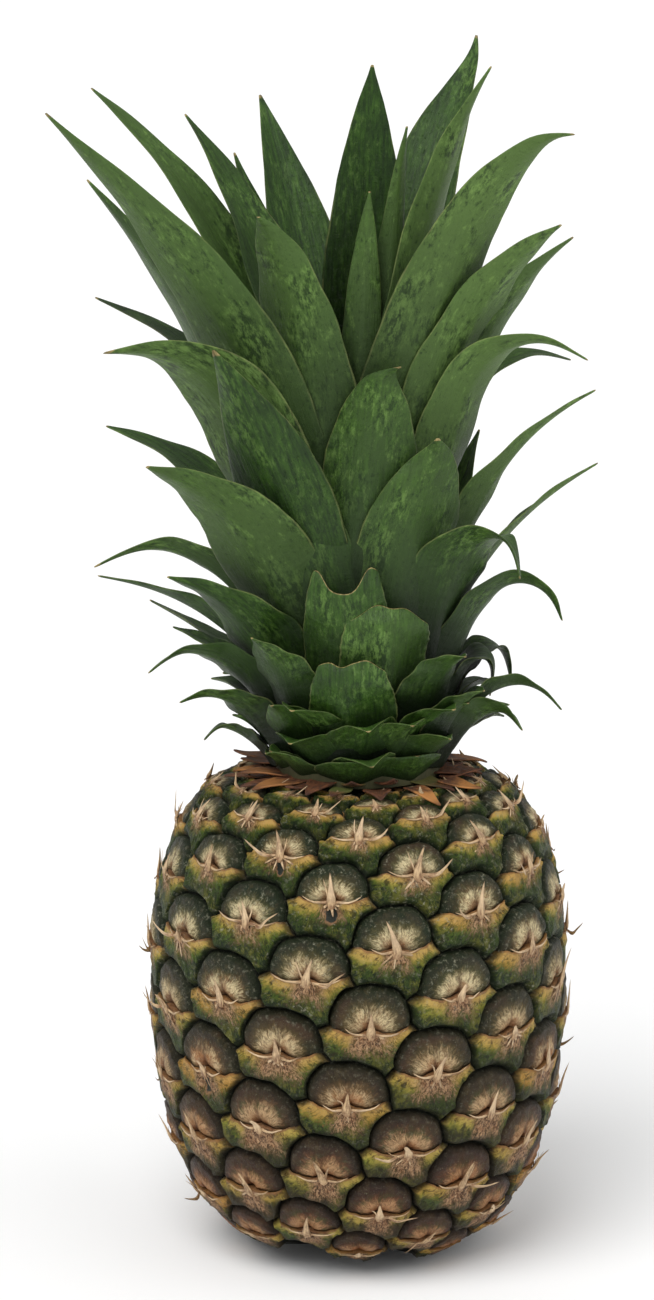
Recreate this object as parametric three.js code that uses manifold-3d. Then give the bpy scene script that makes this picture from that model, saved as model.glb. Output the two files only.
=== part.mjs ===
// A whole pineapple standing on its base, with its crown of leaves. Millimetres, +Z up.
// The origin is the middle of the small flat spot that the fruit rests on. The front is -Y.
import * as THREE from "three";
import { mergeVertices } from "three/addons/utils/BufferGeometryUtils.js";
import Module from "manifold-3d";

const wasm = await Module();
wasm.setup();

// Driving dimensions of the fruit
const FRUIT_OUTLINE = [
  // radius and height of the rind from the middle of the foot up to the middle of the top
  [0, -3],
  [26, -0.9],
  [39, 6.2],
  [50, 17],
  [57.2, 32.5],
  [62.3, 53],
  [64.6, 84],
  [64, 108],
  [61.4, 121],
  [56.3, 135],
  [48.3, 146],
  [38, 151],
  [28, 152.3],
  [0, 153],
];
const WIDEST = 64.6;
const SEAT_RADIUS = 27.4; // flat seat on top of the fruit that the crown grows from
const SEAT_HEIGHT = 152.6;
const CLEARANCE = 0.3;

// Driving dimensions of the eyes, which follow two twin spirals up the fruit
const EYE_START_TURN = 3.2; // degrees from the front, towards +X
const EYE_TURN_STEP = 68.4;
const EYE_START_HEIGHT = 88;
const EYE_RISE_STEP = 3.1;
const EYE_CROWDING_UP = 1.7; // how quickly the eyes get smaller towards the crown
const EYE_CROWDING_DOWN = 0.8;
const EYE_LOWEST_LEVEL = -31;
const EYE_HIGHEST_LEVEL = 30;
const EYE_CENTRE_ABOVE_LIP = 2.5;
const EYE_UNEVENNESS = 1.1;
const EYE_SWELL = 0.6; // how much one eye stands out more than another
const FULL_SIZE_RADIUS = 50; // nearer to the axis than this, the eyes have less relief
const GROOVE_DEPTH = 3;
const GROOVE_DEPTH_BETWEEN_CORNERS = 2.55;
const DOME_EDGE = { share: 0.76, above: -0.9, below: -1.5 };
const DOME_FACE = { share: 0.36, above: 0, below: 0.2 };
const LIP_HEIGHT = 1.9;
const LIP_BELOW_CENTRE = 1.5;

// Driving dimensions of the crown
const STEM_FOOT = 150;
const STEM_TAPER_HEIGHT = 80;
const STEM_RADIUS = 26;
const STEM_TAPER_POWER = 1.6;
const STEM_TOP = 219;
const STEM_SIDES = 16;
const STEM_RINGS = 6;
const RISE_START = 144; // leaves stand more upright the higher above this they grow
const RISE_LENGTH = 10;
const LEAF_SECTIONS = 6;
const LEAF_THICKNESS = 1.5;
const TIP_THINNING = 0.45;
const TIP_HALF_WIDTH = 0.5;
const TAPER_POWER = 1.7;
const CHANNEL_ANGLE = 24;
const WIDEST_WRAP = 65; // degrees that a leaf's foot wraps round the stem to each side
const DROOP_START = 0.7;
const LEAF_WAVE = 0.7;
const LEAF_WAVE_TURNS = 9;
const BLUNT_SHARE = 0.7; // of the extra size, where a leaf is grown to keep others clear of its sharp margins
const SMALLEST_STEP = 0.05; // smaller steps left by a cut are smoothed away
const BASE_WIDTH_SHARE = 0.75;
const FULL_WIDTH_FROM = 0.3;

// Each leaf: name, height on the stem, turn from the front in degrees (+ is to the right), reach and height
// of its tip, arch, width, share of its length that tapers, sway to the side, roll and droop of the end, and
// for a torn leaf the share of its length that is left.
const LEAVES = [
  ["back_1", 214, 176, 13, 371, 0.7, 28, 0.62, -3, 0, 0],
  ["back_3", 212, 148, 74, 373, 0.6, 28, 0.5, 0, 6, 0],
  ["back_2", 211, -150, 62, 357, 0.4, 27, 0.36, 0, 0, 0],
  ["right_2", 210, 20, 14, 355, 0.8, 12, 0.8, 10, 0, 0],
  ["right_1", 208, 66, 43, 374, 0.7, 24, 0.8, 0, -14, 0],
  ["back_4", 206, -134, 54, 341, 0.35, 24, 0.5, 0, -8, 0],
  ["right_3", 206, -12, 14, 336, 0.8, 14, 0.7, 6, 0, 0],
  ["left_1", 204, -118, 61, 354, 0.6, 27, 0.6, 0, -14, 0],
  ["right_4", 200, 50, 78, 361, 0.72, 31, 0.7, 0, -30, 0],
  ["left_2", 199, -114, 91, 361, 0.6, 27, 0.65, 0, -16, 0],
  ["right_5", 194, 64, 67, 328, 0.72, 27, 0.6, 0, -30, 0],
  ["left_3", 194, -62, 102, 360, 0.5, 29, 0.6, 0, 38, 0],
  ["front_1", 190, -22, 30, 329, 0.9, 29, 0.6, -21, 0, 0],
  ["left_4", 189, -78, 84, 340, 0.45, 27, 0.55, 0, 34, 0],
  ["right_6", 189, 78, 66, 322, 0.7, 24, 0.6, 0, -28, 0],
  ["left_7", 187, -40, 68, 294, 0.35, 30, 0.45, 0, 26, 0],
  ["left_5", 186, -116, 66, 319, 0.3, 24, 0.6, 0, -14, 45],
  ["right_8", 186, 104, 56, 300, 0.7, 20, 0.7, 0, 10, 60],
  ["right_7", 184, 68, 60, 314, 0.7, 26, 0.7, 0, -26, 70],
  ["right_9", 183, 136, 53, 267, 0.6, 24, 0.6, 0, 0, 0],
  ["front_2", 182, -5, 24, 286, 0.8, 29, 0.5, 9, 0, 0],
  ["left_6", 181, -58, 71, 313, 0.5, 32, 0.4, 0, 34, 34],
  ["left_8", 180, -112, 82, 262, 0.5, 24, 0.5, 0, -12, 14],
  ["right_10", 178, 128, 48, 255, 0.3, 24, 0.5, 0, 0, 0],
  ["right_11", 178, 80, 73, 275, 0.65, 22, 0.9, 0, -24, 0],
  ["left_9", 177, -50, 77, 267, 0.42, 31, 0.45, 0, 32, 18],
  ["front_4", 175, -16, 32, 258, 0.8, 31, 0.5, -23, 0, 0],
  ["front_3", 174, 13, 30, 262, 0.8, 31, 0.5, 19, 0, 0],
  ["left_10", 173, -84, 77, 232, 0.6, 22, 0.6, 0, 26, 16],
  ["right_12", 173, 94, 74, 249, 0.55, 20, 0.9, 0, -20, 0],
  ["right_13", 172, 54, 62, 239, 0.85, 27, 0.6, 0, -24, 44],
  ["left_12", 170, -60, 65, 225, 0.45, 27, 0.6, 0, 30, 12],
  ["left_11", 168, -92, 80, 217, 0.45, 21, 0.8, 0, 20, 8],
  ["front_5", 168, -6, 42, 246, 0.5, 28, 0.62, -2, 0, 0, 0.7],
  ["right_14", 168, 76, 68, 223, 0.75, 22, 0.7, 0, -24, 74],
  ["left_13", 166, -112, 71, 201, 0.3, 18, 0.7, 0, 0, 0],
  ["right_15", 165, 90, 45, 194, 0.7, 22, 0.5, 0, 0, 80],
  ["front_6", 164, 12, 41, 227, 0.6, 28, 0.5, 3, 0, 0, 0.7],
  ["left_14", 163, -100, 59, 196, 0.5, 18, 0.6, 0, 0, 0],
  ["front_9", 163, 42, 48, 197, 0.8, 25, 0.6, 0, 0, 0],
  ["left_15", 162, -76, 64, 198, 0.6, 22, 0.6, 0, 24, 24],
  ["front_8", 162, -42, 49, 203, 0.7, 25, 0.6, 0, 0, 0],
  ["right_16", 161, 110, 54, 190, 0.85, 18, 0.6, 0, 0, 40],
  ["front_7", 158, -3, 50, 210, 0.5, 27, 0.6, -1, 0, 0, 0.7],
  ["left_16", 158, -68, 59, 184, 0.6, 20, 0.6, 0, 24, 24],
  ["front_10", 158, 56, 46, 184, 0.8, 22, 0.6, 0, 0, 0],
  ["right_17", 158, 88, 65, 176, 0.85, 18, 0.9, 0, -20, 20],
  ["right_18", 156, 70, 52, 176, 0.8, 21, 0.4, 0, -20, 30],
  ["left_17", 155, -86, 47, 169, 0.5, 17, 0.6, 0, 10, 10],
  ["right_19", 154.5, 104, 47, 167, 0.8, 16, 0.6, 0, 0, 0],
];

// Leaves on the far side, which the front ones hide, follow a rule
const FAR_LEAVES = 6;
for (let i = 0; i < FAR_LEAVES; i++) {
  const at = 159 + 5.6 * i;
  const turn = 180 + 48 * Math.sin(2.4 * i + 0.4);
  const reach = 60 - 3 * i;
  const height = at + 31 + 10.5 * i;
  LEAVES.push([`far_${i + 1}`, at, turn, reach, height, 0.65, 24, 0.65, 0, 0, 10]);
}

// Short leaves round the foot of the crown, joined to its stem
const FOOT_LEAVES = 9;
const FOOT_LEAF_TURN_STEP = 137.5;
const FOOT_LEAF_SECTIONS = 4;
const FOOT_LEAF_SINK = 3.5;
const FOOT_LEAF_START = 154.2;
const FOOT_LEAF_STEP = 0.35;
const FOOT_LEAF_FORM = { reach: 38, rise: 11, arch: 0.6, width: 24, taper: 0.6, droop: 20 };

const RIND_MATERIAL = new THREE.MeshStandardMaterial({ color: 0x6f6a35, roughness: 0.75, metalness: 0 });
const STEM_MATERIAL = new THREE.MeshStandardMaterial({ color: 0x72804a, roughness: 0.7, metalness: 0 });
const LEAF_MATERIAL = new THREE.MeshStandardMaterial({ color: 0x3f5d33, roughness: 0.55, metalness: 0 });

const radians = THREE.MathUtils.degToRad;
const clamp01 = (x) => Math.min(1, Math.max(0, x));

// A repeatable number from -1 to 1 for a pair of whole numbers
function uneven(a, b) {
  const x = Math.sin(a * 12.9898 + b * 78.233) * 43758.5453;
  return 2 * (x - Math.floor(x)) - 1;
}

// A closed solid from a geometry, and back
function solidOf(geometry) {
  const bare = geometry.clone();
  bare.deleteAttribute("normal");
  bare.deleteAttribute("uv");
  const merged = mergeVertices(bare, 1e-4);
  return new wasm.Manifold(
    new wasm.Mesh({
      numProp: 3,
      vertProperties: new Float32Array(merged.attributes.position.array),
      triVerts: new Uint32Array(merged.index.array),
    }),
  );
}

function geometryOf(solid) {
  const { numProp, vertProperties, triVerts } = solid.getMesh();
  const count = vertProperties.length / numProp;
  const positions = new Float32Array(count * 3);
  for (let i = 0; i < count; i++) {
    positions.set(vertProperties.subarray(i * numProp, i * numProp + 3), i * 3);
  }
  const geometry = new THREE.BufferGeometry();
  geometry.setAttribute("position", new THREE.BufferAttribute(positions, 3));
  geometry.setIndex(new THREE.BufferAttribute(new Uint32Array(triVerts), 1));
  geometry.computeVertexNormals();
  return geometry;
}

function largestBody(solid) {
  const bodies = solid.decompose();
  return bodies.reduce((best, body) => (body.volume() > best.volume() ? body : best));
}

function geometryFromLists(positions, triangles) {
  const geometry = new THREE.BufferGeometry();
  geometry.setAttribute("position", new THREE.Float32BufferAttribute(positions.flat(), 3));
  geometry.setIndex(triangles.flat());
  return geometry;
}

// The rind's outline, with places along it measured from the middle of the foot
const outline = new THREE.SplineCurve(FRUIT_OUTLINE.map(([r, z]) => new THREE.Vector2(r, z)));
const outlineLength = outline.getLength();

function outlineAt(along) {
  return outline.getPointAt(clamp01(along / outlineLength));
}

// A point on the rind at a turn and a place along the outline, lifted along the rind's normal
function rindPoint(turn, along, lift) {
  const p = outlineAt(along);
  const tangent = outline.getTangentAt(clamp01(along / outlineLength));
  const r = Math.max(0, p.x + tangent.y * lift);
  const z = p.y - tangent.x * lift;
  return [r * Math.sin(radians(turn)), -r * Math.cos(radians(turn)), z];
}

// How far along the outline each level of eyes sits
function eyeLevels() {
  let start = 0;
  while (outlineAt(start).y < EYE_START_HEIGHT) start += 0.25;
  const along = new Map([[0, start]]);
  const spread = 10; // levels beyond the last eyes, which only place their corners
  for (const [way, crowding, last] of [
    [1, EYE_CROWDING_UP, EYE_HIGHEST_LEVEL + spread],
    [-1, EYE_CROWDING_DOWN, EYE_LOWEST_LEVEL - spread],
  ]) {
    let s = start;
    for (let level = way; level !== last + way; level += way) {
      const share = Math.max(outlineAt(s).x, 20) / WIDEST;
      s += way * EYE_RISE_STEP * share ** crowding;
      along.set(level, s);
    }
  }
  return along;
}

// The fruit's rind: six-sided eyes with grooves between them, closed at the foot and at the top
function makeFruit() {
  const levels = eyeLevels();
  const positions = [];
  const keys = new Map();
  const triangles = [];

  const eyePlace = (level, twin) => [
    EYE_START_TURN + EYE_TURN_STEP * level + 180 * twin,
    levels.get(level) + EYE_CENTRE_ABOVE_LIP,
  ];
  const nearTurn = (turn, other) => other + ((((turn - other) % 360) + 540) % 360) - 180;

  function addPoint(turn, along, lift) {
    positions.push(rindPoint(turn, along, lift));
    return positions.length - 1;
  }

  // A groove corner belongs to three eyes: the eye (level, twin) and two above it
  function corner(kind, level, twin) {
    const key = `${kind}:${level}:${twin & 1}`;
    if (!keys.has(key)) {
      const first = eyePlace(level, twin & 1);
      const others =
        kind === 1
          ? [eyePlace(level + 3, (twin + 1) & 1), eyePlace(level + 8, (twin + 1) & 1)]
          : [eyePlace(level + 8, (twin + 1) & 1), eyePlace(level + 5, twin & 1)];
      const turns = others.map(([turn]) => nearTurn(turn, first[0]));
      const wobble = EYE_UNEVENNESS * uneven(level + 7 * kind, twin & 1);
      const turn = (first[0] + turns[0] + turns[1]) / 3 + wobble;
      const along = (first[1] + others[0][1] + others[1][1]) / 3 + wobble;
      keys.set(key, { index: addPoint(turn, along, -GROOVE_DEPTH), turn, along });
    }
    return { key, ...keys.get(key) };
  }

  function middle(a, b) {
    const key = a.key < b.key ? `${a.key}|${b.key}` : `${b.key}|${a.key}`;
    if (!keys.has(key)) {
      const turn = (a.turn + nearTurn(b.turn, a.turn)) / 2;
      const along = (a.along + b.along) / 2;
      keys.set(key, { index: addPoint(turn, along, -GROOVE_DEPTH_BETWEEN_CORNERS), turn, along });
    }
    return { key, ...keys.get(key) };
  }

  function addEye(level, twin) {
    const [turn, along] = eyePlace(level, twin);
    const corners = [
      corner(1, level, twin),
      corner(2, level, twin),
      corner(1, level - 3, twin + 1),
      corner(2, level - 8, twin + 1),
      corner(1, level - 8, twin + 1),
      corner(2, level - 5, twin),
    ];
    const rim = corners.flatMap((c, i) => [c, middle(c, corners[(i + 1) % 6])]);
    const size = Math.min(1, outlineAt(along).x / FULL_SIZE_RADIUS);
    const swell = EYE_SWELL * uneven(level, twin);
    const ring = ({ share, above, below }) =>
      corners.map((p) => {
        const t = nearTurn(p.turn, turn);
        const height = ((p.along > along ? above : below) + swell) * size;
        return addPoint(turn + (t - turn) * share, along + (p.along - along) * share, height);
      });
    const outer = ring(DOME_EDGE);
    const inner = ring(DOME_FACE);
    const lip = addPoint(turn, along - LIP_BELOW_CENTRE, (LIP_HEIGHT + swell) * size);
    for (let i = 0; i < 6; i++) {
      const j = (i + 1) % 6;
      const [a, b, c] = [rim[2 * i].index, rim[2 * i + 1].index, rim[(2 * i + 2) % 12].index];
      triangles.push([a, b, outer[i]], [b, outer[j], outer[i]], [b, c, outer[j]]);
      triangles.push([outer[i], outer[j], inner[j]], [outer[i], inner[j], inner[i]]);
      triangles.push([inner[i], inner[j], lip]);
    }
  }

  for (let level = EYE_LOWEST_LEVEL; level <= EYE_HIGHEST_LEVEL; level++) {
    addEye(level, 0);
    addEye(level, 1);
  }

  // Edges that only one triangle has are the two open rims, at the foot and at the top
  const open = new Map();
  for (const t of triangles) {
    for (let i = 0; i < 3; i++) {
      const a = t[i];
      const b = t[(i + 1) % 3];
      if (!open.delete(`${b},${a}`)) open.set(`${a},${b}`, [a, b]);
    }
  }
  const footPole = positions.push(rindPoint(0, 0, 0)) - 1;
  const topPole = positions.push(rindPoint(0, outlineLength, 0)) - 1;
  for (const [a, b] of open.values()) {
    triangles.push([b, a, positions[a][2] > EYE_START_HEIGHT ? topPole : footPole]);
  }

  // The foot is cut level to stand on, and the top is cut level for the crown
  const rind = solidOf(geometryFromLists(positions, triangles));
  const ground = new THREE.BoxGeometry(200, 200, 20).translate(0, 0, -10);
  const seat = new THREE.CylinderGeometry(SEAT_RADIUS, SEAT_RADIUS, 20, 24)
    .rotateX(Math.PI / 2)
    .translate(0, 0, SEAT_HEIGHT + 10);
  return largestBody(rind.subtract(solidOf(ground)).subtract(solidOf(seat)));
}

// The crown's stem gets thinner from its foot to its top
function stemRadius(z) {
  return STEM_RADIUS * (1 - clamp01((z - STEM_FOOT) / STEM_TAPER_HEIGHT) ** STEM_TAPER_POWER);
}

function stemSolid(extra) {
  const foot = SEAT_HEIGHT + CLEARANCE - extra;
  const profile = [new THREE.Vector2(0, foot)];
  for (let i = 0; i <= STEM_RINGS; i++) {
    const z = foot + ((STEM_TOP + extra - foot) * i) / STEM_RINGS;
    profile.push(new THREE.Vector2(stemRadius(z) + extra, z));
  }
  profile.push(new THREE.Vector2(0, STEM_TOP + extra));
  const lathe = new THREE.LatheGeometry(profile, STEM_SIDES).rotateX(Math.PI / 2);
  return solidOf(lathe);
}

// The line that a leaf follows, in the upright plane of its turn, as distance out and height
function leafLine(at, reach, height, arch, droop, torn, sections, sink) {
  const rise = radians(90 * (1 - Math.exp((RISE_START - at) / RISE_LENGTH)));
  const start = new THREE.Vector2(stemRadius(at) + LEAF_THICKNESS / 2 + CLEARANCE - sink, at);
  const end = new THREE.Vector2(reach, height);
  const span = start.distanceTo(end);
  const bend = new THREE.Vector2(Math.cos(rise), Math.sin(rise)).multiplyScalar(arch * span).add(start);
  const curve = new THREE.QuadraticBezierCurve(start, bend, end);
  const line = Array.from({ length: sections + 1 }, (_, i) => curve.getPoint((torn * i) / sections));
  const hinge = Math.round(sections * DROOP_START);
  for (let i = hinge; i < sections && droop; i++) {
    const turn = -radians(droop) / (sections - hinge);
    for (let j = i + 1; j <= sections; j++) line[j].rotateAround(line[i], turn);
  }
  return line;
}

// A leaf is thick along its middle and sharp at its margins, channelled, and it comes to a point
function leafSolid(leaf, extra, sink = 0, sections = LEAF_SECTIONS) {
  const [name, at, turn, reach, height, arch, width, taper, sway, roll, droop, torn = 1] = leaf;
  const seed = name.length + at;
  const n = sections;
  const line = leafLine(at, reach, height, arch, droop, torn, n, sink);
  const a = radians(turn);
  const out = new THREE.Vector3(Math.sin(a), -Math.cos(a), 0);
  const side = new THREE.Vector3(Math.cos(a), Math.sin(a), 0);
  const up = new THREE.Vector3(0, 0, 1);
  const wrap = Math.min(radians(WIDEST_WRAP), width / 2 / Math.max(6, stemRadius(at)));
  const blunt = extra ? [-BLUNT_SHARE * extra, BLUNT_SHARE * extra] : [0];
  const positions = [];
  for (let i = 0; i <= n; i++) {
    const t = (torn * i) / n;
    const before = line[Math.max(0, i - 1)];
    const after = line[Math.min(n, i + 1)];
    const way = after.clone().sub(before).normalize();
    const centre = out.clone().multiplyScalar(line[i].x).addScaledVector(up, line[i].y);
    centre.addScaledVector(side, sway * t);
    const inward = out.clone().multiplyScalar(-way.y).addScaledVector(up, way.x);
    const rolled = radians(roll) * clamp01(2 * t);
    const across = side.clone().multiplyScalar(Math.cos(rolled)).addScaledVector(inward, Math.sin(rolled));
    const inner = inward.clone().multiplyScalar(Math.cos(rolled)).addScaledVector(side, -Math.sin(rolled));
    const shape = 1 - (1 - Math.min(1 - t, taper) / taper) ** TAPER_POWER;
    const base = BASE_WIDTH_SHARE + (1 - BASE_WIDTH_SHARE) * clamp01(t / FULL_WIDTH_FROM);
    const half = Math.max(TIP_HALF_WIDTH, (width / 2) * shape * base) + extra;
    const channel = wrap + (radians(CHANNEL_ANGLE) - wrap) * clamp01(1.6 * t);
    const sag = half * Math.tan(channel / 2);
    const thick = (LEAF_THICKNESS / 2) * (1 - TIP_THINNING * t) + extra;
    const wave = LEAF_WAVE * Math.sin(seed + LEAF_WAVE_TURNS * t) * Math.sin(Math.PI * t);
    const section = [
      ...blunt.map((b) => [-half, sag + wave + b]),
      [0, thick],
      ...blunt.map((b) => [half, sag - wave - b]),
      [0, -thick],
    ];
    for (const [sideways, inwards] of section) {
      const point = centre.clone().addScaledVector(across, sideways).addScaledVector(inner, inwards);
      positions.push(point.toArray());
    }
  }
  const round = 2 * blunt.length + 2;
  const triangles = [];
  for (let i = 0; i < n; i++) {
    for (let j = 0; j < round; j++) {
      const a0 = round * i + j;
      const b0 = round * i + ((j + 1) % round);
      const a1 = a0 + round;
      const b1 = b0 + round;
      // Both faces of a half are split from the same point of its margin, so that they never cross
      if (j % (round / 2) < round / 2 - 1) triangles.push([a0, a1, b1], [a0, b1, b0]);
      else triangles.push([b0, a0, a1], [b0, a1, b1]);
    }
  }
  const end = round * n;
  for (let j = 0; j < round - 2; j++) {
    triangles.push([round - 1, j, j + 1], [end + round - 1, end + j + 1, end + j]);
  }
  const solid = solidOf(geometryFromLists(positions, triangles));
  if (solid.volume() > 0) return solid;
  return solidOf(geometryFromLists(positions, triangles.map(([p, q, r]) => [p, r, q])));
}

function makeMesh(name, solid, material) {
  const mesh = new THREE.Mesh(geometryOf(solid), material);
  mesh.name = name;
  return mesh;
}

// The crown is put together from the inside out, and each leaf keeps clear of what is inside it
function makeCrown() {
  const group = new THREE.Group();
  const floor = solidOf(
    new THREE.BoxGeometry(200, 200, 60).translate(0, 0, SEAT_HEIGHT + CLEARANCE - 30),
  );
  let stem = stemSolid(0);
  let taken = stemSolid(CLEARANCE).add(floor);
  const { reach, rise, arch, width, taper, droop } = FOOT_LEAF_FORM;
  for (let i = 0; i < FOOT_LEAVES; i++) {
    const at = FOOT_LEAF_START + FOOT_LEAF_STEP * i;
    const turn = FOOT_LEAF_TURN_STEP * i;
    const tip = [reach + 0.7 * i, at + rise + 0.5 * i];
    const foot = [`foot_${i + 1}`, at, turn, ...tip, arch, width, taper, 0, 0, droop];
    stem = stem.add(leafSolid(foot, 0, FOOT_LEAF_SINK, FOOT_LEAF_SECTIONS));
    taken = taken.add(leafSolid(foot, CLEARANCE, FOOT_LEAF_SINK, FOOT_LEAF_SECTIONS));
  }
  stem = largestBody(stem.subtract(floor).simplify(SMALLEST_STEP));
  const ordered = [...LEAVES].sort((a, b) => b[1] - a[1]);
  for (const leaf of ordered) {
    const solid = largestBody(leafSolid(leaf, 0).subtract(taken).simplify(SMALLEST_STEP));
    taken = taken.add(leafSolid(leaf, CLEARANCE));
    group.add(makeMesh(`leaf_${leaf[0]}`, solid, LEAF_MATERIAL));
  }
  group.add(makeMesh("crown_stem", stem, STEM_MATERIAL));
  return group;
}

const pineapple = new THREE.Group();
pineapple.add(makeMesh("fruit", makeFruit(), RIND_MATERIAL));
pineapple.add(makeCrown());

export default pineapple;
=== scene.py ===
"""A whole pineapple with its crown of leaves, dressed around its solid model, on a pale studio floor."""

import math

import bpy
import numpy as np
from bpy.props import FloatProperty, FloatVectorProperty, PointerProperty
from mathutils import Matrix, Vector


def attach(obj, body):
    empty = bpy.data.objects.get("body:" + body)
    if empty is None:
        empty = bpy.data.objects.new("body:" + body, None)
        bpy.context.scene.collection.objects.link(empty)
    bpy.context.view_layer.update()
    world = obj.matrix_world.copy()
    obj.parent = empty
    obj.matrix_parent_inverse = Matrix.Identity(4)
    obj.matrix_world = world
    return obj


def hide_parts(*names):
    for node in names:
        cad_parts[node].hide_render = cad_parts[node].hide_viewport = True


bl_info = {
    "name": "Whole Pineapple",
    "version": (1, 0, 0),
    "blender": (4, 5, 0),
    "location": "View3D > Sidebar > Pineapple",
    "description": "Builds a pineapple's rind, dried bracts and crown of leaves around its solid model",
    "category": "Add Mesh",
}

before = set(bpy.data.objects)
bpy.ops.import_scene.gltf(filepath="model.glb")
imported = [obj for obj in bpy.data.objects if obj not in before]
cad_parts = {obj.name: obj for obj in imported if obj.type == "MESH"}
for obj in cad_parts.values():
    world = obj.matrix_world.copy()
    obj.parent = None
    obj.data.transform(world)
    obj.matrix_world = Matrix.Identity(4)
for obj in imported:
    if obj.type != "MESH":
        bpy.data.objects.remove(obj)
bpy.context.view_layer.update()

MM = 0.001

# The rind's outline: radius and height from the middle of the foot to the middle of the top, in millimetres
FRUIT_OUTLINE = [
    (0, -3),
    (26, -0.9),
    (39, 6.2),
    (50, 17),
    (57.2, 32.5),
    (62.3, 53),
    (64.6, 84),
    (64, 108),
    (61.4, 121),
    (56.3, 135),
    (48.3, 146),
    (38, 151),
    (28, 152.3),
    (0, 153),
]
OUTLINE_STEPS = 60
WIDEST = 64.6
SEAT_HEIGHT = 152.6

# The eyes follow two twin spirals up the fruit
EYE_START_TURN = 3.2
EYE_TURN_STEP = 68.4
EYE_START_HEIGHT = 88
EYE_RISE_STEP = 3.1
EYE_CROWDING_UP = 1.7
EYE_CROWDING_DOWN = 0.8
EYE_LOWEST_LEVEL = -31
EYE_HIGHEST_LEVEL = 41
EYE_SPARE_LEVELS = 24
FULL_RELIEF_RADIUS = 50

# Steps of levels and of twins from an eye to its neighbours above it: right, left and top
RIGHT = (3, 1)
LEFT = (5, 0)
TOP = (8, 1)
# Where those two of them lie that eyes are drawn by, in millimetres on the widest part of the fruit
RIGHT_AWAY = (28.4, 9.3)
TOP_AWAY = (8.1, 24.8)
RIGHT_TURN = RIGHT[0] * EYE_TURN_STEP + 180 - 360
TOP_TURN = TOP[0] * EYE_TURN_STEP + 180 - 720

# Corners on the edge of a dome, as angles from its right end, and the number of steps between them
RIGHT_CORNER = math.radians(33)
LEFT_CORNER = math.radians(111)
RIGHT_STEPS = 5
TOP_STEPS = 11
LEFT_STEPS = 10
WING_STEPS = 2
ARC_STEPS = RIGHT_STEPS + TOP_STEPS + LEFT_STEPS
DOME_RINGS = ARC_STEPS // 2
BRACT_ROWS = 6
LIP_ROWS = 3
BRACT_STEPS = ARC_STEPS + 2 * WING_STEPS
RING_CROWDING = 0.85

# How square a dome's outline is, and the share of the way out from which it falls to the groove
DOME_SQUARENESS = 2.35
FALL_FROM = 0.86
# Sizes of an eye's relief, in millimetres
LIP_HEIGHT = 0.75
LIP_OVERHANG = 0.55
WING_REACH = 2.0
GROOVE_FALL = 2.0
DENT_DEPTH = 0.3
FINE_DENT_DEPTH = 0.16
# How far the marks of small eyes shrink, and where the colours of high eyes begin and over how much height
SMALLEST_MARKS = 0.35
HIGH_FROM = 20
HIGH_RANGE = 95

# Eyes whose bract has split open, as level and twin
SPLIT_EYES = ((13, 1), (18, 1), (-6, 0), (29, 0))

# The stem scar at the base, and the rings, as radius and height, that close the rind's two open rims
SCAR_RADIUS = 11
SCAR_SIDES = 36
SCAR_RINGS = 9
SCAR_INSET = 0.9
FOOT_RINGS = ((SCAR_RADIUS + 1, 0.0), (SCAR_RADIUS, 0.4), (SCAR_RADIUS - 0.6, 1.8), (0, 1.8))
TOP_RINGS = ((18, SEAT_HEIGHT - 1.2), (0, SEAT_HEIGHT - 1.0))
HALFWAY = 80
RIND_MERGE = 0.02


def uneven(a, b):
    """A repeatable number from -1 to 1 for a pair of numbers."""
    x = math.sin(a * 12.9898 + b * 78.233) * 43758.5453
    return 2 * (x - math.floor(x)) - 1


def chance_of(a, b):
    """A repeatable number from 0 to 1 for a pair of numbers."""
    return 0.5 + 0.5 * uneven(a, b)


def clamp01(x):
    return np.clip(x, 0.0, 1.0)


def smooth(x):
    x = clamp01(x)
    return x * x * (3 - 2 * x)


def catmull_rom(points, steps):
    """Points along a smooth line through the given points."""
    given = np.array(points, float)
    last = len(given) - 1
    t = np.linspace(0, 1, steps, endpoint=False)[:, None]
    stretches = []
    for i in range(last):
        p0, p1 = given[max(i - 1, 0)], given[i]
        p2, p3 = given[i + 1], given[min(i + 2, last)]
        v0, v1 = (p2 - p0) / 2, (p3 - p1) / 2
        cubed = (2 * p1 - 2 * p2 + v0 + v1) * t**3
        squared = (3 * p2 - 3 * p1 - 2 * v0 - v1) * t**2
        stretches.append(cubed + squared + v0 * t + p1)
    stretches.append(given[-1:])
    return np.vstack(stretches)


OUTLINE = catmull_rom(FRUIT_OUTLINE, OUTLINE_STEPS)
ALONG = np.concatenate([[0], np.cumsum(np.linalg.norm(np.diff(OUTLINE, axis=0), axis=1))])
OUTLINE_WAY = np.gradient(OUTLINE, ALONG, axis=0)


def rind_points(turn, along, lift):
    """Points on the rind, in metres, from turns in degrees, places along its outline and heights above it."""
    radius = np.interp(along, ALONG, OUTLINE[:, 0]) + np.interp(along, ALONG, OUTLINE_WAY[:, 1]) * lift
    height = np.interp(along, ALONG, OUTLINE[:, 1]) - np.interp(along, ALONG, OUTLINE_WAY[:, 0]) * lift
    radius = np.maximum(radius, 0)
    height = np.maximum(height, 0)
    a = np.radians(turn)
    return np.stack([radius * np.sin(a), -radius * np.cos(a), height], axis=-1) * MM


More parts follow.
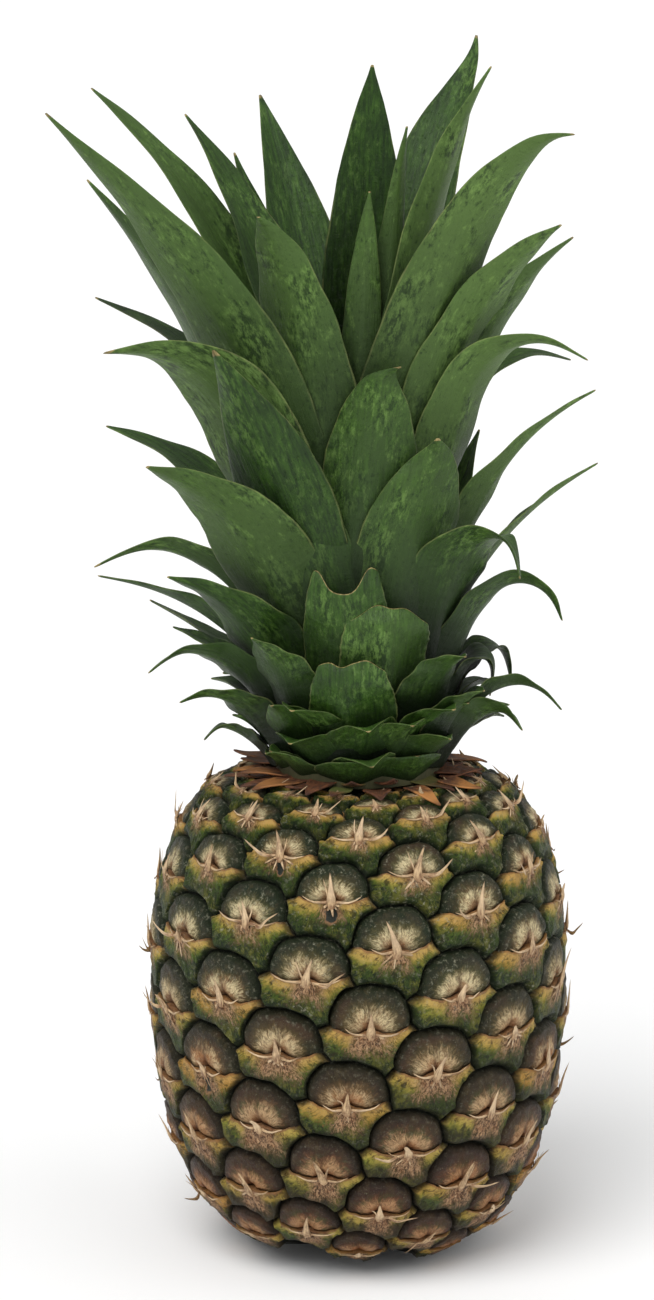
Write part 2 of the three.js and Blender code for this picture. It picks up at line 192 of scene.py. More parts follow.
def eye_levels():
    """How far along the outline each level of eyes sits."""
    start = float(np.interp(EYE_START_HEIGHT, OUTLINE[:, 1], ALONG))
    levels = {0: start}
    for way, crowding, last in (
        (1, EYE_CROWDING_UP, EYE_HIGHEST_LEVEL + EYE_SPARE_LEVELS),
        (-1, EYE_CROWDING_DOWN, EYE_LOWEST_LEVEL - EYE_SPARE_LEVELS),
    ):
        along = start
        for level in range(way, last + way, way):
            share = max(float(np.interp(along, ALONG, OUTLINE[:, 0])), 20) / WIDEST
            along += way * EYE_RISE_STEP * share**crowding
            levels[level] = along
    return levels


LEVELS = eye_levels()


# Materials

def srgb(red, green, blue):
    """A linear colour from the usual 0 to 255 values."""
    def linear(value):
        value /= 255
        return value / 12.92 if value <= 0.04045 else ((value + 0.055) / 1.055) ** 2.4
    return (linear(red), linear(green), linear(blue), 1.0)


class Value:
    """A node's output that can be used in sums."""

    def __init__(self, finish, socket):
        self.finish = finish
        self.socket = socket

    def sum(self, operation, first, second):
        return self.finish.node("ShaderNodeMath", {"operation": operation}, {0: first, 1: second})

    def __add__(self, other):
        return self.sum("ADD", self, other)

    __radd__ = __add__

    def __sub__(self, other):
        return self.sum("SUBTRACT", self, other)

    def __rsub__(self, other):
        return self.sum("SUBTRACT", other, self)

    def __mul__(self, other):
        return self.sum("MULTIPLY", self, other)

    __rmul__ = __mul__

    def __truediv__(self, other):
        return self.sum("DIVIDE", self, other)

    def __pow__(self, other):
        return self.sum("POWER", self, other)


class Finish:
    """A material whose nodes are written as sums of values."""

    def __init__(self, name):
        self.material = bpy.data.materials.new(name)
        self.material.use_nodes = True
        self.tree = self.material.node_tree
        self.shader = self.tree.nodes["Principled BSDF"]

    def node(self, kind, settings=None, inputs=None, output=0):
        made = self.tree.nodes.new(kind)
        for name, value in (settings or {}).items():
            setattr(made, name, value)
        for name, value in (inputs or {}).items():
            if isinstance(value, Value):
                self.tree.links.new(value.socket, made.inputs[name])
            else:
                made.inputs[name].default_value = value
        return Value(self, made.outputs[output])

    def attribute(self, name):
        return self.node("ShaderNodeAttribute", {"attribute_name": name}, output="Fac")

    def mix(self, factor, first, second):
        return self.node("ShaderNodeMix", {"data_type": "RGBA"}, {0: factor, 6: first, 7: second}, output=2)

    def step(self, value, low, high):
        """0 below low and 1 above high, or the other way round, with a smooth way between."""
        inputs = {"Value": value, "From Min": low, "From Max": high}
        return self.node("ShaderNodeMapRange", {"interpolation_type": "SMOOTHSTEP"}, inputs)

    def noise(self, where, scale, detail=3.0, roughness=0.55):
        inputs = {"Vector": where, "Scale": scale, "Detail": detail, "Roughness": roughness}
        return self.node("ShaderNodeTexNoise", None, inputs)

    def stretched(self, where, scale):
        return self.node("ShaderNodeMapping", None, {"Vector": where, "Scale": scale})

    def place(self):
        return self.node("ShaderNodeTexCoord", None, None, output="Object")

    def uv(self, name):
        return self.node("ShaderNodeUVMap", {"uv_map": name})

    def parts(self, where):
        """The first and second number of a vector."""
        split = self.node("ShaderNodeSeparateXYZ", None, {"Vector": where})
        node = split.socket.node
        return Value(self, node.outputs[0]), Value(self, node.outputs[1])

    def set(self, **inputs):
        for name, value in inputs.items():
            socket = self.shader.inputs[name.replace("_", " ").title()]
            if isinstance(value, Value):
                self.tree.links.new(value.socket, socket)
            else:
                socket.default_value = value

    def bump(self, height, strength, distance):
        inputs = {"Strength": strength, "Distance": distance, "Height": height}
        made = self.node("ShaderNodeBump", None, inputs)
        self.tree.links.new(made.socket, self.shader.inputs["Normal"])


def rind_finish():
    """Cream lobes on dark domes, over bracts that go from papery tan and orange to green."""
    f = Finish("pineapple rind")
    place = f.place()
    drift = f.node("ShaderNodeTexNoise", None, {"Vector": place, "Scale": 330.0, "Detail": 3.0}, output=1)
    drift_x, drift_y = f.parts(drift)
    x, y = f.parts(f.uv("eye"))
    x = x + (drift_x - 0.5) * 3.4
    y = y + (drift_y - 0.5) * 3.0
    side = f.node("ShaderNodeMath", {"operation": "ABSOLUTE"}, {0: x})
    bract = f.attribute("bract")
    groove = f.attribute("groove")
    lip = f.attribute("lip")
    tone = f.attribute("tone")
    high = f.attribute("high")
    warm = f.attribute("warm") * (1.0 - f.step(high, 0.6, 1.0) * 0.3)
    split = f.attribute("split")
    broad = f.noise(place, 45.0, 3.0)
    blotch = f.noise(place, 150.0, 5.0, 0.62)
    patch = f.noise(place, 340.0, 5.0, 0.68)
    grain = f.noise(place, 1200.0, 4.0, 0.7)

    # The dome: pale lobes whose streaks run out from the middle and fade into a dark rim
    angle = f.node("ShaderNodeMath", {"operation": "ARCTAN2"}, {0: y + 1.2, 1: x})
    distance = (x * x + y * y) ** 0.5
    ray_place = f.node("ShaderNodeCombineXYZ", None, {0: angle * 6.0, 1: distance * 0.13, 2: tone * 40.0})
    rays = f.noise(ray_place, 3.0, 5.0, 0.75)
    lobe_side = (side - 1.4) / 5.4
    lobe_up = (y - 1.6) / (4.7 + tone * 1.0)
    lobe = (lobe_side * lobe_side + lobe_up * lobe_up) ** 0.5
    pale = lobe + (rays - 0.5) * 1.5 + (patch - 0.5) * 0.5 + (blotch - 0.5) * 0.9
    cream = f.mix(high, srgb(188, 142, 100), srgb(228, 212, 166))
    cream = f.mix(f.step(rays + (grain - 0.5) * 0.5, 0.44, 0.6) * 0.7, cream, srgb(112, 84, 54))
    cream = f.mix(warm * f.step(blotch, 0.45, 0.6) * 0.7, cream, srgb(170, 104, 50))
    core = f.step(distance + (patch - 0.5) * 5.0 - warm * 1.2, 5.0, 1.2)
    cream = f.mix(core * 0.7, cream, srgb(150, 86, 44))
    between_lobes = f.step(side + (patch - 0.5) * 2.6 + y * 0.05, 1.3, 0.1)
    cream = f.mix(between_lobes * 0.6, cream, srgb(92, 60, 40))
    fading = f.mix(high, srgb(104, 66, 44), srgb(100, 92, 56))
    fading = f.mix(f.step(patch, 0.42, 0.6), fading, f.mix(warm, srgb(74, 78, 42), srgb(112, 72, 42)))
    ring = f.mix(high, srgb(54, 35, 27), srgb(44, 44, 30))
    ring = f.mix(f.step(blotch, 0.42, 0.6), ring, f.mix(high, srgb(64, 46, 30), srgb(30, 40, 22)))
    ring = f.mix(f.step(rays + (patch - 0.5) * 0.8, 0.5, 0.68) * 0.4, ring, srgb(82, 72, 46))
    ring = f.mix(f.step(broad + tone * 0.1, 0.58, 0.72) * 0.4, ring, srgb(80, 50, 36))
    specks = f.step(f.noise(place, 1700.0, 2.0), 0.67, 0.74)
    ring = f.mix(specks * 0.5, ring, srgb(150, 146, 120))
    dome = f.mix(f.step(pale, 1.75, 0.9) * 0.85, ring, fading)
    dome = f.mix(f.step(pale, 1.3, 0.5) * 0.95, dome, cream)
    # Dark reddish-brown just above the bract's lip: partly the dome's own colour, partly painted shade in the
    # hollow under the lip
    dome = f.mix(f.step(lip + (grain - 0.5) * 1.0, 1.3, 0.1) * 0.75, dome, srgb(48, 28, 20))

    # The bract: mottled green, orange and yellow wings and a fibrous tan middle below the spike
    fan = f.node("ShaderNodeMath", {"operation": "ARCTAN2"}, {0: x, 1: 6.0 - y})
    fan_place = f.node("ShaderNodeCombineXYZ", None, {0: fan * 10.0, 1: y * 0.16, 2: tone * 31.0})
    fibres = f.noise(fan_place, 3.0, 6.0, 0.8)
    leafy = f.mix(f.step(fibres + (patch - 0.5) * 1.0, 0.38, 0.62), srgb(26, 40, 14), srgb(90, 112, 38))
    leafy = f.mix(f.step(blotch + (fibres - 0.5) * 0.6, 0.48, 0.64) * 0.85, leafy, srgb(158, 156, 60))
    browned = f.step(broad + (patch - 0.5) * 0.5, 0.36, 0.6) * 0.8
    leafy = f.mix((1.0 - high) * browned, leafy, srgb(70, 50, 30))
    leafy = f.mix(f.step(patch + (blotch - 0.5) * 0.6, 0.52, 0.64) * 0.7, leafy, srgb(24, 32, 14))
    low_down = f.step(lip + (blotch - 0.5) * 6.0 + (fibres - 0.5) * 4.0, 3.4, 8.0)
    leafy = f.mix(low_down * 0.6, leafy, f.mix(high, srgb(42, 32, 20), srgb(24, 38, 14)))
    golden = f.mix(warm, srgb(190, 178, 80), srgb(204, 146, 72))
    golden = f.mix(f.step(fibres + (patch - 0.5) * 0.8, 0.44, 0.62), golden, srgb(104, 80, 36))
    wing_down = lip + (fibres - 0.5) * 7.0 - warm * 1.8 + (patch - 0.5) * 3.0
    wing = f.step(side + (blotch - 0.5) * 7.0, 2.6, 6.4) * f.step(wing_down, 4.8, 1.0)
    cover = f.mix(wing * 0.9, leafy, golden)
    # Painted highlight: a bright yellow band along the raised lip, stronger on the higher eyes
    painted_lip_highlight = f.step(lip + (patch - 0.5) * 5.0 + (fibres - 0.5) * 4.0, 3.0, 0.8) * f.step(side, 1.0, 3.5)
    cover = f.mix(painted_lip_highlight * (0.25 + high * 0.4), cover, srgb(220, 176, 104))
    tan = f.mix(f.step(fibres + (grain - 0.5) * 0.5, 0.42, 0.58), srgb(196, 156, 116), srgb(78, 48, 32))
    tan = f.mix(f.step(patch, 0.5, 0.66) * 0.5, tan, srgb(150, 92, 52))
    middle = side * (1.15 - 0.5 * tone) - lip * 0.1 + (fibres - 0.5) * 7.0 + (blotch - 0.5) * 5.0
    below_spike = f.step(lip + (fibres - 0.5) * 8.0 + (patch - 0.5) * 5.0 - (1.0 - high) * 3.0, 8.2, 3.0)
    cover = f.mix(f.step(middle + high * 1.2, 7.4, 2.8) * below_spike, cover, tan)
    cover = f.mix(f.step(patch * 0.6 + grain * 0.4, 0.555, 0.6) * 0.4, cover, srgb(52, 36, 24))
    edge_width = 0.35 + (patch - 0.4) * 1.4
    edge_colour = f.mix(warm, srgb(150, 106, 72), srgb(174, 122, 64))
    cover = f.mix(f.step(lip / edge_width, 1.3, 0.6) * 0.8, cover, edge_colour)
    colour = f.mix(bract, dome, cover)

    # A few bracts have split open below their spike
    hollow_side = x / 2.3
    hollow_down = (y + 4.4) / 3.9
    hollow = (hollow_side * hollow_side + hollow_down * hollow_down) ** 0.5
    colour = f.mix(split * f.step(hollow, 1.25, 0.9), colour, srgb(168, 128, 92))
    inside = f.mix(grain, srgb(28, 30, 26), srgb(84, 88, 80))
    colour = f.mix(split * f.step(hollow, 0.98, 0.8), colour, inside)

    # Both go dark towards the groove: a broad dark green that is partly their own colour and partly painted
    # shade, then a thin painted shadow along the groove
    rim = f.step(groove + (blotch - 0.5) * 4.0 + (patch - 0.5) * 3.6, 3.0, 0.6)
    colour = f.mix(rim * 0.84, colour, f.mix(high, srgb(36, 28, 18), srgb(22, 34, 13)))
    # Painted shadow: a near-black line along the bottom of the groove
    colour = f.mix(f.step(groove + (grain - 0.5) * 1.0, 0.75, 0.1) * 0.9, colour, srgb(15, 20, 11))
    # Pale dust: partly the rind's own mealy bloom, partly a painted highlight that grows towards the top of
    # the fruit
    shoulder_bloom_and_highlight = f.step(blotch + (patch - 0.5) * 0.5, 0.46, 0.66) * f.step(high, 0.75, 1.0) * 0.3
    dust_and_highlight = f.step(f.noise(place, 700.0, 5.0, 0.75), 0.53, 0.68) * (0.08 + high * 0.17 + shoulder_bloom_and_highlight * 1.4)
    colour = f.mix(dust_and_highlight, colour, srgb(180, 178, 154))
    f.set(base_color=colour, roughness=0.5 + (blotch - 0.5) * 0.3)
    relief = rays * (1.0 - bract) * 0.7 + fibres * bract * 1.1 + grain * 0.35 + patch * 0.9
    f.bump(relief, 0.9, 0.0014)
    f.shader.inputs["Specular IOR Level"].default_value = 0.22
    return f.material


def paper_finish():
    """Dry papery tissue, pinkish tan with darker fibres."""
    f = Finish("dry paper")
    along = f.attribute("tip")
    tone = f.attribute("tone")
    fibre = f.noise(f.stretched(f.uv("blade"), (9.0, 0.8, 1.0)), 4.0, 4.0, 0.7)
    patch = f.noise(f.place(), 500.0, 4.0, 0.7)
    colour = f.mix(f.step(fibre + (patch - 0.5) * 0.5, 0.35, 0.65), srgb(112, 80, 52), srgb(200, 170, 128))
    colour = f.mix(tone * f.step(along, 0.2, 0.5) * 0.6, colour, srgb(220, 194, 158))
    colour = f.mix(f.step(along, 0.4, 0.0) * 0.6, colour, srgb(136, 92, 60))
    colour = f.mix(f.step(along, 0.85, 1.0) * 0.6, colour, srgb(112, 80, 56))
    f.set(base_color=colour, roughness=0.6)
    f.bump(fibre, 0.5, 0.0003)
    return f.material


def dried_bract_finish():
    """Reddish-brown dried bracts."""
    f = Finish("dried bract")
    along = f.attribute("tip")
    tone = f.attribute("tone")
    fibre = f.noise(f.stretched(f.uv("blade"), (6.0, 0.7, 1.0)), 4.0, 5.0, 0.7)
    place = f.place()
    patch = f.noise(place, 260.0, 5.0, 0.7)
    colour = f.mix(f.step(fibre + (patch - 0.5) * 0.6, 0.34, 0.66), srgb(52, 30, 20), srgb(128, 78, 46))
    orange = f.step(tone, 0.56, 0.85) * f.step(along + (patch - 0.5), 0.1, 0.6)
    colour = f.mix(orange, colour, srgb(186, 126, 66))
    colour = f.mix(f.step(tone, 0.24, 0.1) * f.step(along, 0.9, 0.3), colour, srgb(96, 102, 48))
    colour = f.mix(f.step(along, 0.7, 1.0) * 0.7, colour, srgb(70, 40, 28))
    f.set(base_color=colour, roughness=0.7)
    f.bump(fibre, 0.6, 0.0005)
    return f.material


def leaf_finish(name, fresh, dark, bloom, bloom_share):
    """A leaf's skin: a waxy bloom rubbed off in blotches and scratches, thin pale margins and a dry tip."""
    f = Finish(name)
    blade = f.uv("blade")
    along = f.attribute("tip")
    edge = f.attribute("edge")
    tone = f.attribute("tone")
    dry = f.attribute("dry")
    room = f.attribute("room")
    dim = f.attribute("dim")
    streaks = f.noise(f.stretched(blade, (5.0, 0.45, 1.0)), 2.0, 5.0, 0.62)
    lines = f.noise(f.stretched(blade, (30.0, 0.35, 1.0)), 2.0, 2.0, 0.5)
    broad = f.noise(f.stretched(blade, (0.7, 0.3, 1.0)), 1.2, 3.0, 0.55)
    rubs = f.noise(f.stretched(blade, (1.7, 0.8, 1.0)), 1.5, 8.0, 0.7)
    flecks = f.noise(f.stretched(blade, (3.4, 1.1, 1.0)), 1.7, 9.0, 0.78)
    green = f.mix(f.step(streaks * 0.6 + broad * 0.5, 0.38, 0.7), dark, fresh)
    # The bloom is whole near the foot and worn away in ragged blotches further up
    wear = rubs * 0.75 + broad * 0.35 + along * 0.3 - tone * 0.3 + 0.1
    waxy = f.step(wear, 0.76, 0.62)
    colour = f.mix(waxy * bloom_share, green, bloom)
    bright = f.mix(0.55, bloom, srgb(150, 188, 98))
    worn_bright = f.step(flecks + (broad - 0.5) * 0.5, 0.52, 0.66) * f.step(along, 0.2, 0.6)
    colour = f.mix(worn_bright * (0.27 + 0.35 * tone), colour, bright)
    colour = f.mix(tone * tone * (0.2 + 0.3 * f.step(along, 0.2, 0.8)), colour, bright)
    worn_dark = f.step(flecks - (broad - 0.5) * 0.5, 0.47, 0.36) * f.step(along, 0.1, 0.5)
    colour = f.mix(worn_dark * 0.75, colour, dark)
    scratch = f.step(f.noise(f.stretched(blade, (2.6, 2.2, 1.0)), 3.0, 9.0, 0.85), 0.57, 0.63)
    colour = f.mix(scratch * f.step(along, 0.1, 0.5) * 0.5, colour, f.mix(0.3, dark, srgb(16, 30, 10)))
    colour = f.mix(f.step(lines, 0.5, 0.8) * 0.12, colour, bloom)
    # Painted shade: it is darkened deep between its neighbours, towards its foot and near the stem
    depth = f.step(along + room * 0.35 + (rubs - 0.5) * 0.2, 1.08, 0.3)
    colour = f.mix(depth * 0.92, colour, srgb(9, 18, 6))
    colour = f.mix(dim * 0.55, colour, srgb(14, 26, 8))
    margin = f.step(edge + (streaks - 0.5) * 0.08, 0.975, 1.0) * f.step(broad + rubs * 0.6, 0.62, 0.9)
    colour = f.mix(margin * 0.3, colour, srgb(140, 142, 90))
    brown = f.mix(f.step(streaks, 0.35, 0.65), srgb(96, 84, 48), srgb(164, 148, 98))
    tip = f.step(along + (rubs - 0.5) * 0.02 + dry * (0.012 + edge * 0.008), 0.99, 1.0)
    colour = f.mix(tip, colour, brown)
    f.set(base_color=colour, roughness=0.42 + waxy * 0.12 + (flecks - 0.5) * 0.2)
    creases = f.noise(f.stretched(blade, (1.2, 2.6, 1.0)), 1.0, 4.0, 0.6)
    f.bump(streaks * 0.6 + lines * 0.25 + rubs * 0.8 + scratch * 0.3 + creases * 0.7, 0.6, 0.0009)
    f.shader.inputs["Specular IOR Level"].default_value = 0.26
    return f.material


def leaf_finishes(settings):
    """The skins of a leaf's back, which has the most bloom, and of its darker face."""
    chosen = (settings.fresh_colour, settings.dark_colour, settings.bloom_colour)
    colours = [(*colour, 1.0) for colour in chosen]
    return [
        bpy.data.materials.get(name) or leaf_finish(name, *colours, bloom_share)
        for name, bloom_share in (("leaf back", 0.8), ("leaf face", 0.35))
    ]


def stem_finish():
    f = Finish("crown stem")
    fibre = f.noise(f.stretched(f.place(), (1.0, 1.0, 0.15)), 420.0, 4.0)
    f.set(base_color=f.mix(fibre, srgb(38, 44, 22), srgb(84, 80, 42)), roughness=0.7)
    f.bump(fibre, 0.5, 0.0006)
    return f.material


def scar_finish():
    f = Finish("stem scar")
    place = f.place()
    cells = f.noise(place, 700.0, 4.0)
    rings = f.noise(f.stretched(place, (1.0, 1.0, 0.2)), 160.0, 3.0)
    colour = f.mix(f.step(rings, 0.35, 0.65), srgb(122, 92, 58), srgb(178, 146, 98))
    f.set(base_color=f.mix(cells * 0.5, colour, srgb(78, 56, 36)), roughness=0.85)
    f.bump(cells + rings, 0.7, 0.0008)
    return f.material


# Shaping

def nothing_selected():
    if bpy.context.object and bpy.context.object.mode != "OBJECT":
        bpy.ops.object.mode_set(mode="OBJECT")
    bpy.ops.object.select_all(action="DESELECT")


def only(piece):
    """Selects one piece alone and makes it the active one."""
    nothing_selected()
    piece.select_set(True)
    bpy.context.view_layer.objects.active = piece


def copy_of(grid):
    """A copy of a grid with a mesh of its own."""
    piece = grid.copy()
    piece.data = grid.data.copy()
    bpy.context.collection.objects.link(piece)
    return piece


def new_grid(name, across, along):
    """A flat grid from the grid primitive, and each vertex's place in whole steps across and along it."""
    nothing_selected()
    bpy.ops.mesh.primitive_grid_add(x_subdivisions=across, y_subdivisions=along, size=1)
    grid = bpy.context.object
    grid.name = grid.data.name = name
    places = np.zeros(len(grid.data.vertices) * 3)
    grid.data.vertices.foreach_get("co", places)
    places = places.reshape(-1, 3)
    column = np.rint((places[:, 0] + 0.5) * across).astype(int)
    row = np.rint((places[:, 1] + 0.5) * along).astype(int)
    return grid, column, row


def set_places(mesh, places):
    mesh.vertices.foreach_set("co", np.asarray(places, np.float32).ravel())
    mesh.update()


def set_numbers(mesh, name, numbers):
    attribute = mesh.attributes.get(name) or mesh.attributes.new(name, "FLOAT", "POINT")
    attribute.data.foreach_set("value", np.asarray(numbers, np.float32).ravel())


def set_uv(mesh, name, places):
    """A UV map from one place for each vertex."""
    layer = mesh.uv_layers.get(name) or mesh.uv_layers.new(name=name)
    corners = np.zeros(len(mesh.loops), int)
    mesh.loops.foreach_get("vertex_index", corners)
    layer.uv.foreach_set("vector", np.asarray(places, np.float32)[corners].ravel())


def join(pieces, name):
    nothing_selected()
    for piece in pieces:
        piece.select_set(True)
    bpy.context.view_layer.objects.active = pieces[0]
    bpy.ops.object.join()
    joined = bpy.context.object
    joined.name = joined.data.name = name
    return joined


def edit(piece, *steps):
    """Runs each step in edit mode with all of the piece selected."""
    only(piece)
    bpy.ops.object.mode_set(mode="EDIT")
    bpy.ops.mesh.select_all(action="SELECT")
    for step in steps:
        step()
    bpy.ops.object.mode_set(mode="OBJECT")


def apply_modifiers(piece):
    only(piece)
    for modifier in list(piece.modifiers):
        bpy.ops.object.modifier_apply(modifier=modifier.name)


def smooth_faces(piece, angle=180.0):
    only(piece)
    if angle >= 180:
        bpy.ops.object.shade_smooth()
    else:
        bpy.ops.object.shade_smooth_by_angle(angle=math.radians(angle))


# The rind

def eye_middle(level, twin):
    """The turn and the place along the outline of an eye's middle, where its bract meets its dome."""
    twin %= 2
    turn = EYE_START_TURN + EYE_TURN_STEP * level + 180 * twin + 0.6 * uneven(level, twin + 3)
    return turn, LEVELS[level] + 0.5 * uneven(level, twin + 5)


def on_rind(level, twin, x, y):
    """Turns and places along the outline, from millimetres right of and above an eye's middle."""
    turn, along = eye_middle(level, twin)
    over = RIGHT_AWAY[0] * TOP_AWAY[1] - RIGHT_AWAY[1] * TOP_AWAY[0]
    rightwards = (x * TOP_AWAY[1] - y * TOP_AWAY[0]) / over
    upwards = (y * RIGHT_AWAY[0] - x * RIGHT_AWAY[1]) / over
    right_rise = (LEVELS[level + RIGHT[0]] - LEVELS[level - RIGHT[0]]) / 2
    top_rise = (LEVELS[level + TOP[0]] - LEVELS[level - TOP[0]]) / 2
    turns = turn + rightwards * RIGHT_TURN + upwards * TOP_TURN
    return np.stack([turns, along + rightwards * right_rise + upwards * top_rise], axis=-1)


class EyeShape:
    """The outline of one eye on the rind, in millimetres from its middle."""

    def __init__(self, level, twin, settings):
        self.level = level
        self.twin = twin % 2
        self.seed = 5 * level + 3 * self.twin
        self.radius = settings.dome_radius / MM * (1 + 0.035 * uneven(level, twin % 2 + 7))
        self.height = settings.dome_height / MM * (1 + 0.045 * uneven(level, twin % 2 + 9))

    def lip(self, x):
        """The line that the bract's top edge follows: a peak in the middle and raised ends."""
        away = np.abs(x)
        ragged = 0.28 * np.sin(1.1 * x + self.seed) * np.sin(0.6 * x + 2 * self.seed)
        return ragged - 1.3 * np.sin(np.pi * clamp01(away / 10.5)) + 0.9 * clamp01((away - 9) / 4) ** 2

    def dome(self, share, angle):
        ragged = 1 + 0.028 * np.sin(3 * angle + self.seed) + 0.014 * np.sin(9 * angle + 2 * self.seed)
        power = DOME_SQUARENESS
        squared = (np.abs(np.cos(angle)) ** power + np.abs(np.sin(angle)) ** power) ** (-1 / power)
        reach = share * ragged * squared
        x = reach * self.radius * np.cos(angle)
        y = reach * self.height * np.sin(angle) + self.lip(x) * (1 - np.sin(angle)) ** 2
        return x, y

    def arc(self, angles):
        x, y = self.dome(1.0, np.asarray(angles, float))
        return on_rind(self.level, self.twin, x, y)


def neighbour(level, twin, step, way=1):
    return level + way * step[0], (twin + step[1]) % 2


def near(places, turn):
    """The same places with turns within half a turn of the given one."""
    places = np.array(places)
    places[..., 0] = turn + (places[..., 0] - turn + 180) % 360 - 180
    return places


def steps_between(first, last, steps):
    share = np.linspace(0, 1, steps + 1)[:, None]
    return first + (last - first) * share


def eye_edges(level, twin, settings):
    """An eye's three upper edges, right, top and left, each from right to left."""
    shape = EyeShape(level, twin, settings)
    turn = eye_middle(level, twin)[0]
    right_low = EyeShape(*neighbour(level, twin, LEFT, -1), settings).arc([LEFT_CORNER])[0]
    left_low = EyeShape(*neighbour(level, twin, RIGHT, -1), settings).arc([RIGHT_CORNER])[0]
    ends = shape.arc([0, np.pi])
    right_wing = steps_between(near(right_low, turn), ends[0], WING_STEPS)
    left_wing = steps_between(ends[1], near(left_low, turn), WING_STEPS)
    right = shape.arc(np.linspace(0, RIGHT_CORNER, RIGHT_STEPS + 1))
    top = shape.arc(np.linspace(RIGHT_CORNER, LEFT_CORNER, TOP_STEPS + 1))
    left = shape.arc(np.linspace(LEFT_CORNER, np.pi, LEFT_STEPS + 1))
    return np.vstack([right_wing[:-1], right]), top, np.vstack([left[:-1], left_wing])


def relief_size(along):
    """How much of its full height the relief has: less towards the two ends of the fruit."""
    return np.minimum(1, np.interp(along, ALONG, OUTLINE[:, 0]) / FULL_RELIEF_RADIUS)


def rough_lift(places):
    """Small dents and swellings all over the rind, the same for all that share a place."""
    a = np.radians(places[..., 0])
    s = places[..., 1]
    wide = DENT_DEPTH * np.sin(37 * a + 1.3 * np.sin(0.55 * s)) * np.sin(0.6 * s + 1.2 * np.sin(23 * a))
    fine = FINE_DENT_DEPTH * np.sin(83 * a + 2 * np.sin(0.9 * s)) * np.sin(1.45 * s + 2 * np.sin(41 * a))
    return wide + fine


